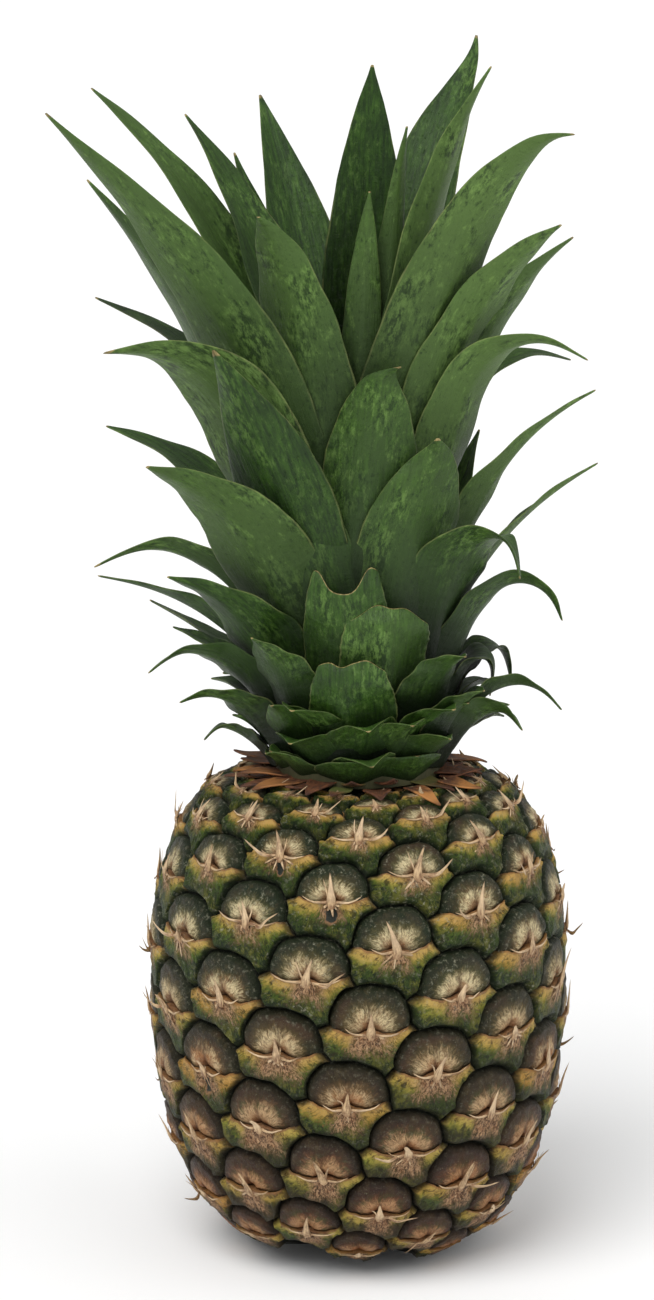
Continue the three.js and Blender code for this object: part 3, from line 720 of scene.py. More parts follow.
def eye_patches(level, twin, settings):
    """Places and marks of an eye's dome and of its bract, as two grids."""
    shape = EyeShape(level, twin, settings)
    turn = eye_middle(level, twin)[0]
    deep = settings.groove_depth / MM
    swell = 0.35 * uneven(level, twin + 11)

    # The dome: rings from the middle out to the groove
    angles = np.concatenate([
        np.linspace(0, RIGHT_CORNER, RIGHT_STEPS + 1)[:-1],
        np.linspace(RIGHT_CORNER, LEFT_CORNER, TOP_STEPS + 1)[:-1],
        np.linspace(LEFT_CORNER, np.pi, LEFT_STEPS + 1),
    ])
    shares = (np.arange(DOME_RINGS + 1) / DOME_RINGS) ** RING_CROWDING
    share, angle = np.meshgrid(shares, angles, indexing="ij")
    x, y = shape.dome(share, angle)
    above = np.maximum(y - shape.lip(x), 0)

    def dome_lift(x, above, share):
        lobes = 0.35 * np.exp(-((np.abs(x) - 3.8) ** 2 / 7 + (above - 4.0) ** 2 / 10))
        crease = 0.3 * np.exp(-(x**2) / 1.1) * np.exp(-above / 5)
        hollow = 1.5 * np.exp(-((above / 1.7) ** 2)) * np.exp(-((x / 6.0) ** 2))
        hollow = hollow + 0.6 * np.exp(-((above / 1.3) ** 2))
        face = 0.45 * (1 - share**2) + swell + lobes - crease - hollow
        fall = clamp01((share - FALL_FROM) / 0.14) ** 1.5
        return face * (1 - fall) - deep * fall

    dome_places = on_rind(level, twin, x, y)
    lift = (dome_lift(x, above, share) + rough_lift(dome_places)) * relief_size(dome_places[..., 1])
    dome = {
        "points": rind_points(dome_places[..., 0], dome_places[..., 1], lift),
        "eye": np.stack([x, y], -1),
        "groove": (1 - share) * shape.radius,
        "lip": above,
    }

    # The bract: rows from its papery lip down to the grooves of the eyes below
    below = [neighbour(level, twin, step, -1) for step in (RIGHT, TOP, LEFT)]
    left_down = eye_edges(*below[0], settings)[0][::-1]
    bottom = eye_edges(*below[1], settings)[1][::-1]
    right_up = eye_edges(*below[2], settings)[2][::-1]
    low_edge = near(np.vstack([left_down, bottom[1:], right_up[1:]]), turn)
    right_edge, _, left_edge = eye_edges(level, twin, settings)
    left_wing = near(left_edge[LEFT_STEPS:][::-1], turn)
    right_wing = near(right_edge[: WING_STEPS + 1][::-1], turn)
    rays = np.concatenate([-shares[::-1], shares[1:]])
    lip_x = rays * shape.radius
    lip_y = shape.lip(lip_x)
    lip_places = on_rind(level, twin, lip_x, lip_y)
    high_edge = np.vstack([left_wing[:-1], lip_places, right_wing[1:]])

    def with_wings(middle, left, right):
        return np.concatenate([np.full(WING_STEPS, left), middle, np.full(WING_STEPS, right)])

    lip_room = with_wings(1 - clamp01((np.abs(lip_x) - shape.radius + 3) / 3) ** 2, 0.0, 0.0)
    full_x = with_wings(lip_x, -shape.radius - WING_REACH, shape.radius + WING_REACH)
    lip_lift = -deep + (deep + LIP_HEIGHT + swell + 0.5 * np.exp(-((full_x / 3.5) ** 2))) * lip_room
    ray_lift = dome_lift(lip_x, np.zeros_like(lip_x), np.abs(rays))
    base_lift = with_wings(ray_lift, -deep, -deep)
    overhang = LIP_OVERHANG * lip_room
    lip_up = high_edge + np.stack([0 * overhang, overhang], -1)
    rows = [high_edge, lip_up, lip_up]
    lifts = [base_lift, base_lift + (lip_lift - base_lift) * 0.55, lip_lift]
    down = [0 * lip_room] * LIP_ROWS
    lengths = np.linalg.norm((low_edge - high_edge) * [WIDEST * math.pi / 180, 1], axis=1)
    for k in range(1, BRACT_ROWS + 1):
        v = k / BRACT_ROWS
        place = high_edge + (low_edge - high_edge) * v
        keel = 0.5 * np.exp(-((full_x / 3.0) ** 2)) * (1 - v)
        flat = 0.25 + swell + keel
        surface = lip_lift + (flat - lip_lift) * smooth(v * 2.2)
        ridges = np.cos(2.1 * full_x + shape.seed + 0.7 * np.sin(0.9 * v * lengths))
        surface = surface + 0.24 * ridges * np.exp(-(((v * lengths - 3.2) / 3.2) ** 2))
        if (level, twin) in SPLIT_EYES:
            surface = surface - 2.2 * np.exp(-((full_x / 1.9) ** 4 + ((v * lengths - 4.2) / 3.4) ** 4))
        to_groove = (1 - v) * lengths
        fall = clamp01(1 - to_groove / GROOVE_FALL) ** 1.6 if k < BRACT_ROWS else np.ones_like(v * lengths)
        rows.append(place)
        lifts.append(surface * (1 - fall) - deep * fall)
        down.append(v * lengths)
    places = np.array(rows)
    lifts = (np.array(lifts) + rough_lift(places)) * relief_size(places[..., 1])
    down = np.array(down)
    groove = np.maximum(lengths[None, :] - down, 0)
    wing_gap = with_wings(shape.radius - np.abs(lip_x), 0.0, 0.0)
    groove = np.minimum(groove, np.maximum(wing_gap[None, :], 0) + down * 0.9)
    local_y = with_wings(lip_y, 0.0, 0.0)[None, :] - down
    local_x = (places[..., 0] - turn) * WIDEST * math.pi / 180
    size = (LEVELS[level + RIGHT[0]] - LEVELS[level - RIGHT[0]]) / 2 / RIGHT_AWAY[1]
    size = min(1.0, max(SMALLEST_MARKS, size))
    bract = {
        "points": rind_points(places[..., 0], places[..., 1], lifts),
        "eye": np.stack([local_x, local_y], -1) / size,
        "groove": groove / size,
        "lip": down / size,
    }
    return dome, bract


def make_rind(settings):
    """Every eye is a copy of one dome grid and one bract grid, bent to its own place on the fruit."""
    dome_grid, dome_column, dome_row = new_grid("dome", ARC_STEPS, DOME_RINGS)
    bract_grid, bract_column, bract_row = new_grid("bract", BRACT_STEPS, BRACT_ROWS + LIP_ROWS - 1)
    pieces = []
    for level in range(EYE_LOWEST_LEVEL, EYE_HIGHEST_LEVEL + 1):
        for twin in (0, 1):
            dome, bract = eye_patches(level, twin, settings)
            height = float(np.interp(LEVELS[level], ALONG, OUTLINE[:, 1]))
            marks = {
                "tone": chance_of(level, twin + 21),
                "warm": chance_of(level, twin + 23),
                "high": float(smooth((height - HIGH_FROM) / HIGH_RANGE)),
                "split": float((level, twin) in SPLIT_EYES),
            }
            for grid, column, row, patch, kind in (
                (dome_grid, dome_column, dome_row, dome, 0.0),
                (bract_grid, bract_column, bract_row, bract, 1.0),
            ):
                piece = copy_of(grid)
                mesh = piece.data
                set_places(mesh, patch["points"][row, column])
                set_uv(mesh, "eye", patch["eye"][row, column])
                set_numbers(mesh, "groove", patch["groove"][row, column])
                set_numbers(mesh, "lip", patch["lip"][row, column])
                count = len(mesh.vertices)
                set_numbers(mesh, "bract", np.full(count, kind))
                for name, value in marks.items():
                    set_numbers(mesh, name, np.full(count, value))
                pieces.append(piece)
    for grid in (dome_grid, bract_grid):
        bpy.data.objects.remove(grid)
    rind = join(pieces, "rind")
    for name in ("groove", "lip", "bract", *marks):
        rind.data.attributes.active = rind.data.attributes[name]
        bpy.ops.geometry.attribute_convert(mode="GENERIC", domain="CORNER", data_type="FLOAT")
    edit(rind, lambda: bpy.ops.mesh.remove_doubles(threshold=RIND_MERGE * MM))
    close_rind(rind)
    edit(rind, lambda: bpy.ops.mesh.normals_make_consistent(inside=False))
    smooth_faces(rind, 70)
    return rind


def make_scar():
    """The round scar at the base where the fruit was cut from its stalk."""
    nothing_selected()
    bpy.ops.mesh.primitive_circle_add(vertices=SCAR_SIDES, radius=SCAR_RADIUS * MM, fill_type="NGON")
    scar = bpy.context.object
    scar.name = scar.data.name = "stem_scar"
    insets = [lambda: bpy.ops.mesh.inset(thickness=SCAR_INSET * MM)] * SCAR_RINGS
    edit(scar, *insets, bpy.ops.mesh.poke)
    for vertex in scar.data.vertices:
        x, y = vertex.co.x / MM, vertex.co.y / MM
        radius = math.hypot(x, y)
        turned = math.atan2(y, x)
        crumbs = 0.16 * math.sin(2.1 * x + 3 * math.sin(1.3 * y))
        crumbs += 0.12 * math.sin(7 * turned + 2.4 * radius)
        vertex.co.z = (0.9 + crumbs - 0.35 * math.cos(1.5 * radius)) * MM
    edit(scar, bpy.ops.mesh.flip_normals)
    smooth_faces(scar, 50)
    return scar


def close_rind(rind):
    """Closes the open rims at the foot and at the top with rings that run in to the axis."""
    for is_foot, rings in ((True, FOOT_RINGS), (False, TOP_RINGS)):
        only(rind)
        bpy.ops.object.mode_set(mode="EDIT")
        bpy.ops.mesh.select_mode(type="EDGE")
        bpy.ops.mesh.select_all(action="DESELECT")
        bpy.ops.mesh.select_non_manifold(extend=False, use_wire=False, use_multi_face=False, use_verts=False)
        bpy.ops.object.mode_set(mode="OBJECT")
        mesh = rind.data
        for edge in mesh.edges:
            low = mesh.vertices[edge.vertices[0]].co.z < HALFWAY * MM
            if low != is_foot:
                edge.select = False
        for vertex in mesh.vertices:
            vertex.select = False
        for edge in mesh.edges:
            if edge.select:
                for index in edge.vertices:
                    mesh.vertices[index].select = True
        for radius, height in rings:
            bpy.ops.object.mode_set(mode="EDIT")
            bpy.ops.mesh.extrude_edges_move()
            bpy.ops.object.mode_set(mode="OBJECT")
            for vertex in rind.data.vertices:
                if vertex.select:
                    way = vertex.co.xy.normalized() if vertex.co.xy.length > 1e-6 else Vector((1, 0))
                    vertex.co = (*(way * radius * MM), height * MM)
        edit(rind, lambda: bpy.ops.mesh.remove_doubles(threshold=RIND_MERGE * MM))


# Crown leaves: name, height on the stem, turn from the front in degrees (+ is to the right), reach and height
# of the tip, arch, width, share of the length that tapers, sway to the side, roll and droop of the end, and
# for a torn leaf the share of its length that is left. Sizes are in millimetres.
LEAVES = [
    ("back_1", 214, 176, 13, 371, 0.7, 28, 0.62, -3, 0, 0),
    ("back_3", 212, 148, 74, 373, 0.6, 28, 0.5, 0, 6, 0),
    ("back_2", 211, -150, 62, 357, 0.4, 27, 0.36, 0, 0, 0),
    ("right_2", 210, 20, 14, 355, 0.8, 12, 0.8, 10, 0, 0),
    ("right_1", 208, 66, 43, 374, 0.7, 24, 0.8, 0, -14, 0),
    ("back_4", 206, -134, 54, 341, 0.35, 24, 0.5, 0, -8, 0),
    ("right_3", 206, -12, 14, 336, 0.8, 14, 0.7, 6, 0, 0),
    ("left_1", 204, -118, 61, 354, 0.6, 27, 0.6, 0, -14, 0),
    ("right_4", 200, 50, 78, 361, 0.72, 31, 0.7, 0, -30, 0),
    ("left_2", 199, -114, 91, 361, 0.6, 27, 0.65, 0, -16, 0),
    ("right_5", 194, 64, 67, 328, 0.72, 27, 0.6, 0, -30, 0),
    ("left_3", 194, -62, 102, 360, 0.5, 29, 0.6, 0, 38, 0),
    ("front_1", 190, -22, 30, 329, 0.9, 29, 0.6, -21, 0, 0),
    ("left_4", 189, -78, 84, 340, 0.45, 27, 0.55, 0, 34, 0),
    ("right_6", 189, 78, 66, 322, 0.7, 24, 0.6, 0, -28, 0),
    ("left_7", 187, -40, 68, 294, 0.35, 30, 0.45, 0, 26, 0),
    ("left_5", 186, -116, 66, 319, 0.3, 24, 0.6, 0, -14, 45),
    ("right_8", 186, 104, 56, 300, 0.7, 20, 0.7, 0, 10, 60),
    ("right_7", 184, 68, 60, 314, 0.7, 26, 0.7, 0, -26, 70),
    ("right_9", 183, 136, 53, 267, 0.6, 24, 0.6, 0, 0, 0),
    ("front_2", 182, -5, 24, 286, 0.8, 29, 0.5, 9, 0, 0),
    ("left_6", 181, -58, 71, 313, 0.5, 32, 0.4, 0, 34, 34),
    ("left_8", 180, -112, 82, 262, 0.5, 24, 0.5, 0, -12, 14),
    ("right_10", 178, 128, 48, 255, 0.3, 24, 0.5, 0, 0, 0),
    ("right_11", 178, 80, 73, 275, 0.65, 22, 0.9, 0, -24, 0),
    ("left_9", 177, -50, 77, 267, 0.42, 31, 0.45, 0, 32, 18),
    ("front_4", 175, -16, 32, 258, 0.8, 31, 0.5, -23, 0, 0),
    ("front_3", 174, 13, 30, 262, 0.8, 31, 0.5, 19, 0, 0),
    ("left_10", 173, -84, 77, 232, 0.6, 22, 0.6, 0, 26, 16),
    ("right_12", 173, 94, 74, 249, 0.55, 20, 0.9, 0, -20, 0),
    ("right_13", 172, 54, 62, 239, 0.85, 27, 0.6, 0, -24, 44),
    ("left_12", 170, -60, 65, 225, 0.45, 27, 0.6, 0, 30, 12),
    ("left_11", 168, -92, 80, 217, 0.45, 21, 0.8, 0, 20, 8),
    ("front_5", 168, -6, 42, 246, 0.5, 28, 0.62, -2, 0, 0, 0.7),
    ("right_14", 168, 76, 68, 223, 0.75, 22, 0.7, 0, -24, 74),
    ("left_13", 166, -112, 71, 201, 0.3, 18, 0.7, 0, 0, 0),
    ("right_15", 165, 90, 45, 194, 0.7, 22, 0.5, 0, 0, 80),
    ("front_6", 164, 12, 41, 227, 0.6, 28, 0.5, 3, 0, 0, 0.7),
    ("left_14", 163, -100, 59, 196, 0.5, 18, 0.6, 0, 0, 0),
    ("front_9", 163, 42, 48, 197, 0.8, 25, 0.6, 0, 0, 0),
    ("left_15", 162, -76, 64, 198, 0.6, 22, 0.6, 0, 24, 24),
    ("front_8", 162, -42, 49, 203, 0.7, 25, 0.6, 0, 0, 0),
    ("right_16", 161, 110, 54, 190, 0.85, 18, 0.6, 0, 0, 40),
    ("front_7", 158, -3, 50, 210, 0.5, 27, 0.6, -1, 0, 0, 0.7),
    ("left_16", 158, -68, 59, 184, 0.6, 20, 0.6, 0, 24, 24),
    ("front_10", 158, 56, 46, 184, 0.8, 22, 0.6, 0, 0, 0),
    ("right_17", 158, 88, 65, 176, 0.85, 18, 0.9, 0, -20, 20),
    ("right_18", 156, 70, 52, 176, 0.8, 21, 0.4, 0, -20, 30),
    ("left_17", 155, -86, 47, 169, 0.5, 17, 0.6, 0, 10, 10),
    ("right_19", 154.5, 104, 47, 167, 0.8, 16, 0.6, 0, 0, 0),
]
TORN = 11
# Torn tops: place and depth of a notch as shares of the half width and the length, its width, and the
# roundness of the top
TORN_TOPS = {
    "front_5": (-0.05, 0.15, 0.5, 0.04),
    "front_6": (0.5, 0.02, 0.3, 0.13),
    "front_7": (-0.3, 0.07, 0.2, 0.07),
}

# Leaves on the far side, which the front ones hide
FAR_LEAVES = 6
for i in range(FAR_LEAVES):
    far_at = 159 + 5.6 * i
    far_turn = 180 + 48 * math.sin(2.4 * i + 0.4)
    far_height = far_at + 31 + 10.5 * i
    LEAVES.append((f"far_{i + 1}", far_at, far_turn, 60 - 3 * i, far_height, 0.65, 24, 0.65, 0, 0, 10))

# Short leaves round the foot of the crown, joined to its stem
FOOT_LEAVES = 9
LOW_LEAVES = 10
MIDDLE_LEAVES = 13
FOOT_LEAF_SINK = 3.5
GOLDEN_ANGLE = 137.5

# The stem, and the rules by which a leaf rises from it, in millimetres, degrees and shares of its length
STEM_FOOT = 150
STEM_TAPER_HEIGHT = 80
STEM_RADIUS = 26
STEM_TAPER_POWER = 1.6
STEM_TOP = 219
STEM_CAP = 0.06
CLEARANCE = 0.3
RISE_START = 144
RISE_LENGTH = 10
LEAF_SEAT = 0.75
CHANNEL_ANGLE = 24
WIDEST_WRAP = 65
TAPER_POWER = 1.7
DROOP_FROM = 0.583
DROOP_LENGTH = 0.333
WAVE_HEIGHT = 1.1
RIPPLE_HEIGHT = 0.5
CALM_LENGTH = 45
CHANNEL_DEPTH = 1.35
TORN_FOLD = 4.5
SHADE_REACH = 22
LEAF_COLUMNS = 10
LEAF_STEPS = 36
FOOT_COLUMNS = 8
FOOT_STEPS = 16


def stem_radius(z):
    """The radius of the crown's stem at a height, both in millimetres."""
    return STEM_RADIUS * (1 - clamp01((z - STEM_FOOT) / STEM_TAPER_HEIGHT) ** STEM_TAPER_POWER)


def leaf_line(at, reach, height, arch, droop, sink, t):
    """Distance from the axis and height along a leaf's middle, for shares of its full length."""
    rise = math.radians(90 * (1 - math.exp((RISE_START - at) / RISE_LENGTH)))
    start = np.array([float(stem_radius(at)) + LEAF_SEAT + CLEARANCE - sink, at])
    end = np.array([reach, height])
    bend = start + arch * np.linalg.norm(end - start) * np.array([math.cos(rise), math.sin(rise)])
    u = np.linspace(0, 1, 241)[:, None]
    way = 2 * (1 - u) * (bend - start) + 2 * u * (end - bend)
    turned = -math.radians(droop) * clamp01((u[:, 0] - DROOP_FROM) / DROOP_LENGTH)
    turned_way = np.stack([
        way[:, 0] * np.cos(turned) - way[:, 1] * np.sin(turned),
        way[:, 0] * np.sin(turned) + way[:, 1] * np.cos(turned),
    ], axis=-1)
    steps = (turned_way[1:] + turned_way[:-1]) / 2 / (len(u) - 1)
    line = start + np.vstack([[0, 0], np.cumsum(steps, axis=0)])
    return np.stack([np.interp(t, u[:, 0], line[:, k]) for k in (0, 1)], axis=-1)


def leaf_places(leaf, column, row, sink=0.0):
    """Where each vertex of a leaf's grid goes, in millimetres, and how far across and along it is."""
    name, at, turn, reach, height, arch, width, taper, sway, roll, droop = leaf[:TORN]
    torn = leaf[TORN] if len(leaf) > TORN else 1.0
    seed = len(name) + at
    x = 2 * column / column.max() - 1
    t = torn * row / row.max()
    if torn < 1:
        notch_at, notch_deep, notch_wide, rounded = TORN_TOPS[name]
        ragged = 0.014 * np.sin(7 * x + seed) + 0.01 * np.sin(23 * x + 2 * seed) + rounded * x**2
        ragged = ragged + notch_deep * np.exp(-(((x - notch_at) / notch_wide) ** 2))
        t = t - torn * ragged * smooth((row / row.max() - 0.6) / 0.4)
    t = np.clip(t, 0, 1)
    small = 0.004
    line = leaf_line(at, reach, height, arch, droop, sink, t)
    way = leaf_line(at, reach, height, arch, droop, sink, np.minimum(t + small, 1))
    way = way - leaf_line(at, reach, height, arch, droop, sink, np.maximum(t - small, 0))
    way /= np.linalg.norm(way, axis=1)[:, None]
    a = math.radians(turn)
    out = np.array([math.sin(a), -math.cos(a), 0.0])
    side = np.array([math.cos(a), math.sin(a), 0.0])
    up = np.array([0.0, 0.0, 1.0])
    centre = line[:, :1] * out + line[:, 1:] * up + (sway * t)[:, None] * side
    if name in TIP_CURLS:
        begin, sideways, outwards, upwards = TIP_CURLS[name]
        centre = centre + clamp01((t - begin) / (1 - begin))[:, None] ** 2 * (
            sideways * side + outwards * out + upwards * up
        )
    inward = -way[:, 1:] * out + way[:, :1] * up
    rolled = (math.radians(roll) * clamp01(2 * t))[:, None]
    across = side * np.cos(rolled) + inward * np.sin(rolled)
    inner = inward * np.cos(rolled) - side * np.sin(rolled)
    wrap = min(math.radians(WIDEST_WRAP), width / 2 / max(6.0, float(stem_radius(at))))
    shape = 1 - (1 - np.minimum(1 - t, taper) / taper) ** TAPER_POWER
    base = 0.75 + 0.25 * clamp01(t / 0.3)
    half = np.maximum(0.4, width / 2 * shape * base)
    channel = wrap + (math.radians(CHANNEL_ANGLE) - wrap) * clamp01(1.6 * t)
    sag = half * np.tan(channel / 2) * CHANNEL_DEPTH
    calm = min(1.0, math.hypot(reach - float(stem_radius(at)), height - at) / CALM_LENGTH)
    wave = WAVE_HEIGHT * calm * np.sin(seed + 9 * t) * np.sin(np.pi * t)
    ripple = RIPPLE_HEIGHT * calm * np.sin(seed * 3 + 31 * t + 2 * np.sign(x)) * np.abs(x) ** 3
    ripple = ripple * np.minimum(1, half / 6)
    ragged = 0.16 if name in DARK_LEAVES else 0.03
    notch = 1 + ragged * np.sin(seed * 5 + 47 * t) * np.sin(seed + 83 * t) * (np.abs(x) > 0.95)
    middle = 0.12 * half * np.exp(-((x / 0.16) ** 2)) * (1 - t)
    depth = sag * np.abs(x) ** 1.5 - x * wave + ripple - middle * 0.5
    if torn < 1:
        depth = depth + TORN_FOLD * smooth((t / torn - 0.8) / 0.2) ** 2
    points = centre + across * (half * x * notch)[:, None] + inner * depth[:, None]
    length = math.hypot(reach, height - at)
    blade = np.stack([half * x, t * length], axis=-1) / 10
    return points, x, t, blade, half


def make_blade(grid, column, row, leaf, settings, sink=0.0):
    """One leaf: the grid bent to its line, given its thickness and rounded off."""
    blade = copy_of(grid)
    blade.name = "blade_" + leaf[0]
    mesh = blade.data
    mesh.name = blade.name
    points, x, t, uv, half = leaf_places(leaf, column, row, sink)
    set_places(mesh, points * MM)
    set_uv(mesh, "blade", uv + [7.0 * uneven(len(leaf[0]), leaf[1]), 13.0 * uneven(leaf[2], leaf[1])])
    left = leaf[TORN] if len(leaf) > TORN else 1.0
    set_numbers(mesh, "tip", np.where(row == row.max(), 1.0, t / left * 0.985))
    set_numbers(mesh, "edge", np.abs(x))
    tone = PALE_TONE if leaf[0] in PALE_LEAVES else DEEP_TONE if leaf[0] in DEEP_LEAVES else USUAL_TONE
    set_numbers(mesh, "tone", np.full(len(x), tone + 0.14 * uneven(leaf[1], leaf[2])))
    set_numbers(mesh, "dry", np.full(len(x), float(leaf[0] in DRY_LEAVES)))
    set_numbers(mesh, "dim", np.full(len(x), float(leaf[0] in DARK_LEAVES)))
    # How far the leaf stands out from the stem, which sets its painted shade deep in the crown
    from_stem = np.hypot(points[:, 0], points[:, 1]) - stem_radius(points[:, 2])
    set_numbers(mesh, "room", clamp01(from_stem / SHADE_REACH))
    thick = blade.vertex_groups.new(name="thick")
    full = (1 - 0.6 * np.abs(x) ** 2) * (1 - 0.45 * t)
    for index, share in enumerate(full):
        thick.add([index], float(share), "REPLACE")
    solid = blade.modifiers.new("thickness", "SOLIDIFY")
    solid.thickness = settings.leaf_thickness
    solid.offset = 0
    solid.vertex_group = "thick"
    solid.material_offset = 1
    rounded = blade.modifiers.new("rounding", "SUBSURF")
    rounded.levels = rounded.render_levels = 1
    return blade


def finish_blade(blade, finishes):
    for finish in finishes:
        blade.data.materials.append(finish)
    apply_modifiers(blade)
    blade.vertex_groups.clear()
    smooth_faces(blade)


# Curled tips: where the curl begins along the leaf, then how far it takes the tip sideways, outwards and up
TIP_CURLS = {
    "back_3": (0.93, 2.5, 0, 1.5),
    "front_2": (0.86, 5.5, 1.5, -1.5),
    "front_3": (0.85, -2.5, 3.0, 1.0),
    "front_4": (0.84, -3.0, 4.0, 1.0),
    "left_3": (0.88, 0, 3.0, 4.0),
    "left_6": (0.8, 0, 4.0, -5.0),
    "left_10": (0.78, 0, 3.5, -7.0),
    "left_15": (0.8, 0, 2.0, -5.0),
    "left_17": (0.8, 0, 1.0, -5.0),
    "right_4": (0.9, 0, 4.0, -3.0),
    "right_13": (0.8, 0, -3.0, -7.0),
    "right_15": (0.7, 4.0, -4.0, -9.0),
    "right_16": (0.7, 0, -2.0, -8.0),
    "right_18": (0.8, 0, 2.0, -3.0),
}

# Leaves by their looks: how pale they are, and which are darkened or have a dry end
PALE_LEAVES = (
    "right_1", "right_2", "right_3", "right_4", "right_5", "right_6", "right_7", "right_11", "right_12",
    "left_2", "left_3", "left_6", "left_9", "front_1",
)
DEEP_LEAVES = (
    "back_1", "back_2", "back_3", "back_4", "left_5", "left_7", "left_8", "left_11", "left_12", "front_7",
)
DARK_LEAVES = ("left_5", "right_9", "right_15", "right_16", "left_13", "right_19")
DRY_LEAVES = (
    "front_2", "front_3", "front_4", "right_9", "right_15", "right_16", "left_6", "left_7", "left_10",
)
PALE_TONE = 0.78
DEEP_TONE = 0.12
USUAL_TONE = 0.42


def make_leaves(settings):
    grid, column, row = new_grid("blade", LEAF_COLUMNS, LEAF_STEPS)
    finishes = leaf_finishes(settings)
    for leaf in LEAVES:
        blade = make_blade(grid, column, row, leaf, settings)
        finish_blade(blade, finishes)
        hand_over(blade, stands_for="leaf_" + leaf[0])
    bpy.data.objects.remove(grid)


def make_stem(settings):
    """The crown's stem with its short foot leaves."""
    grid, column, row = new_grid("foot blade", FOOT_COLUMNS, FOOT_STEPS)
    finishes = leaf_finishes(settings)
    pieces = []
    short = []
    for i in range(FOOT_LEAVES):
        at = 154.2 + 0.35 * i
        wide = 22 + 4 * uneven(i, 3)
        tall = at + 14 + 0.5 * i + 4 * uneven(i, 7)
        short.append((at, GOLDEN_ANGLE * i, 38 + 0.7 * i, tall, wide, 14 + 20 * uneven(i, 9)))
    for i in range(LOW_LEAVES):
        at = 152.6 + 0.12 * i
        turn = 360 / LOW_LEAVES * i + 9 * uneven(i, 13)
        tall = at + 10 + 3 * uneven(i, 17)
        short.append((at, turn, 34 + 2.5 * uneven(i, 15), tall, 24 + 4 * uneven(i, 19), 10 * uneven(i, 43)))
    for i in range(MIDDLE_LEAVES):
        at = 155.6 + 0.42 * (5 * i % MIDDLE_LEAVES)
        turn = 360 / MIDDLE_LEAVES * i + 10 * uneven(i, 31)
        tall = at + 23 + 7 * uneven(i, 33)
        droop = 16 + 24 * uneven(i, 39)
        short.append((at, turn, 44 + 4 * uneven(i, 35), tall, 24 + 3 * uneven(i, 37), droop))
    for i, (at, turn, reach, height, width, droop) in enumerate(short):
        taper = 0.62 + 0.2 * uneven(i, 23)
        sway = 9 * uneven(i, 21)
        leaf = (f"foot_{i + 1}", at, turn, reach, height, 0.65, width, taper, sway, 2 * sway, droop)
        blade = make_blade(grid, column, row, leaf, settings, FOOT_LEAF_SINK)
        # Foot leaves stand in the open and get only the painted shade towards their own foot
        set_numbers(blade.data, "room", np.full(len(row), 1.0))
        finish_blade(blade, finishes)
        pieces.append(blade)
    bpy.data.objects.remove(grid)
    nothing_selected()
    bpy.ops.mesh.primitive_uv_sphere_add(segments=32, ring_count=16, radius=1)
    core = bpy.context.object
    foot = SEAT_HEIGHT + CLEARANCE
    for vertex in core.data.vertices:
        share = math.acos(max(-1.0, min(1.0, -vertex.co.z))) / math.pi
        z = foot + (STEM_TOP - foot) * clamp01((share - STEM_CAP) / (1 - 2 * STEM_CAP))
        around = vertex.co.xy.normalized() if vertex.co.xy.length > 1e-6 else Vector((0, 0))
        vertex.co = (*(around * float(stem_radius(z)) * MM), z * MM)
    core.data.materials.append(stem_finish())
    smooth_faces(core, 40)
    return join([core, *pieces], "stem_core")


# Dry spikes on each eye, and the strands of dry tissue that run from their feet
STRAND_SIDES = 6
STRAND_STEPS = 8
STRAND_MERGE = 0.004
CHANCES = 16
BROKEN_SPIKES = 0.16
LONG_STRANDS = 0.45


def strand_points(column, row, level, twin, path, width, flat):
    """A tapered strand along a path given right of, above and off the rind from an eye's middle, in mm."""
    line = catmull_rom(path, STRAND_STEPS)
    place = np.linspace(0, 1, len(line))
    s = row / STRAND_STEPS
    centres = []
    for shift in (0, 0.02, -0.02):
        x, y, lift = (np.interp(np.clip(s + shift, 0, 1), place, line[:, k]) for k in range(3))
        where = on_rind(level, twin, x, y)
        centres.append(rind_points(where[:, 0], where[:, 1], lift * relief_size(where[:, 1])))
    way = centres[1] - centres[2]
    way /= np.linalg.norm(way, axis=1)[:, None]
    turn, along = eye_middle(level, twin)
    foot = rind_points(np.array([turn]), np.array([along]), np.array([0.0]))
    out = rind_points(np.array([turn]), np.array([along]), np.array([1.0])) - foot
    out = out / np.linalg.norm(out)
    sideways = np.cross(way, np.repeat(out, len(way), axis=0))
    sideways /= np.maximum(np.linalg.norm(sideways, axis=1), 1e-9)[:, None]
    off = np.cross(sideways, way)
    angle = 2 * math.pi * column / STRAND_SIDES
    taper = np.interp(s, np.linspace(0, 1, len(width)), width) / 2 * MM
    half = np.where((row == 0) | (row == STRAND_STEPS), 0, taper)
    half = half * relief_size(np.array([along]))[0]
    across = (half * np.cos(angle))[:, None] * sideways
    return centres[0] + across + (half * flat * np.sin(angle))[:, None] * off


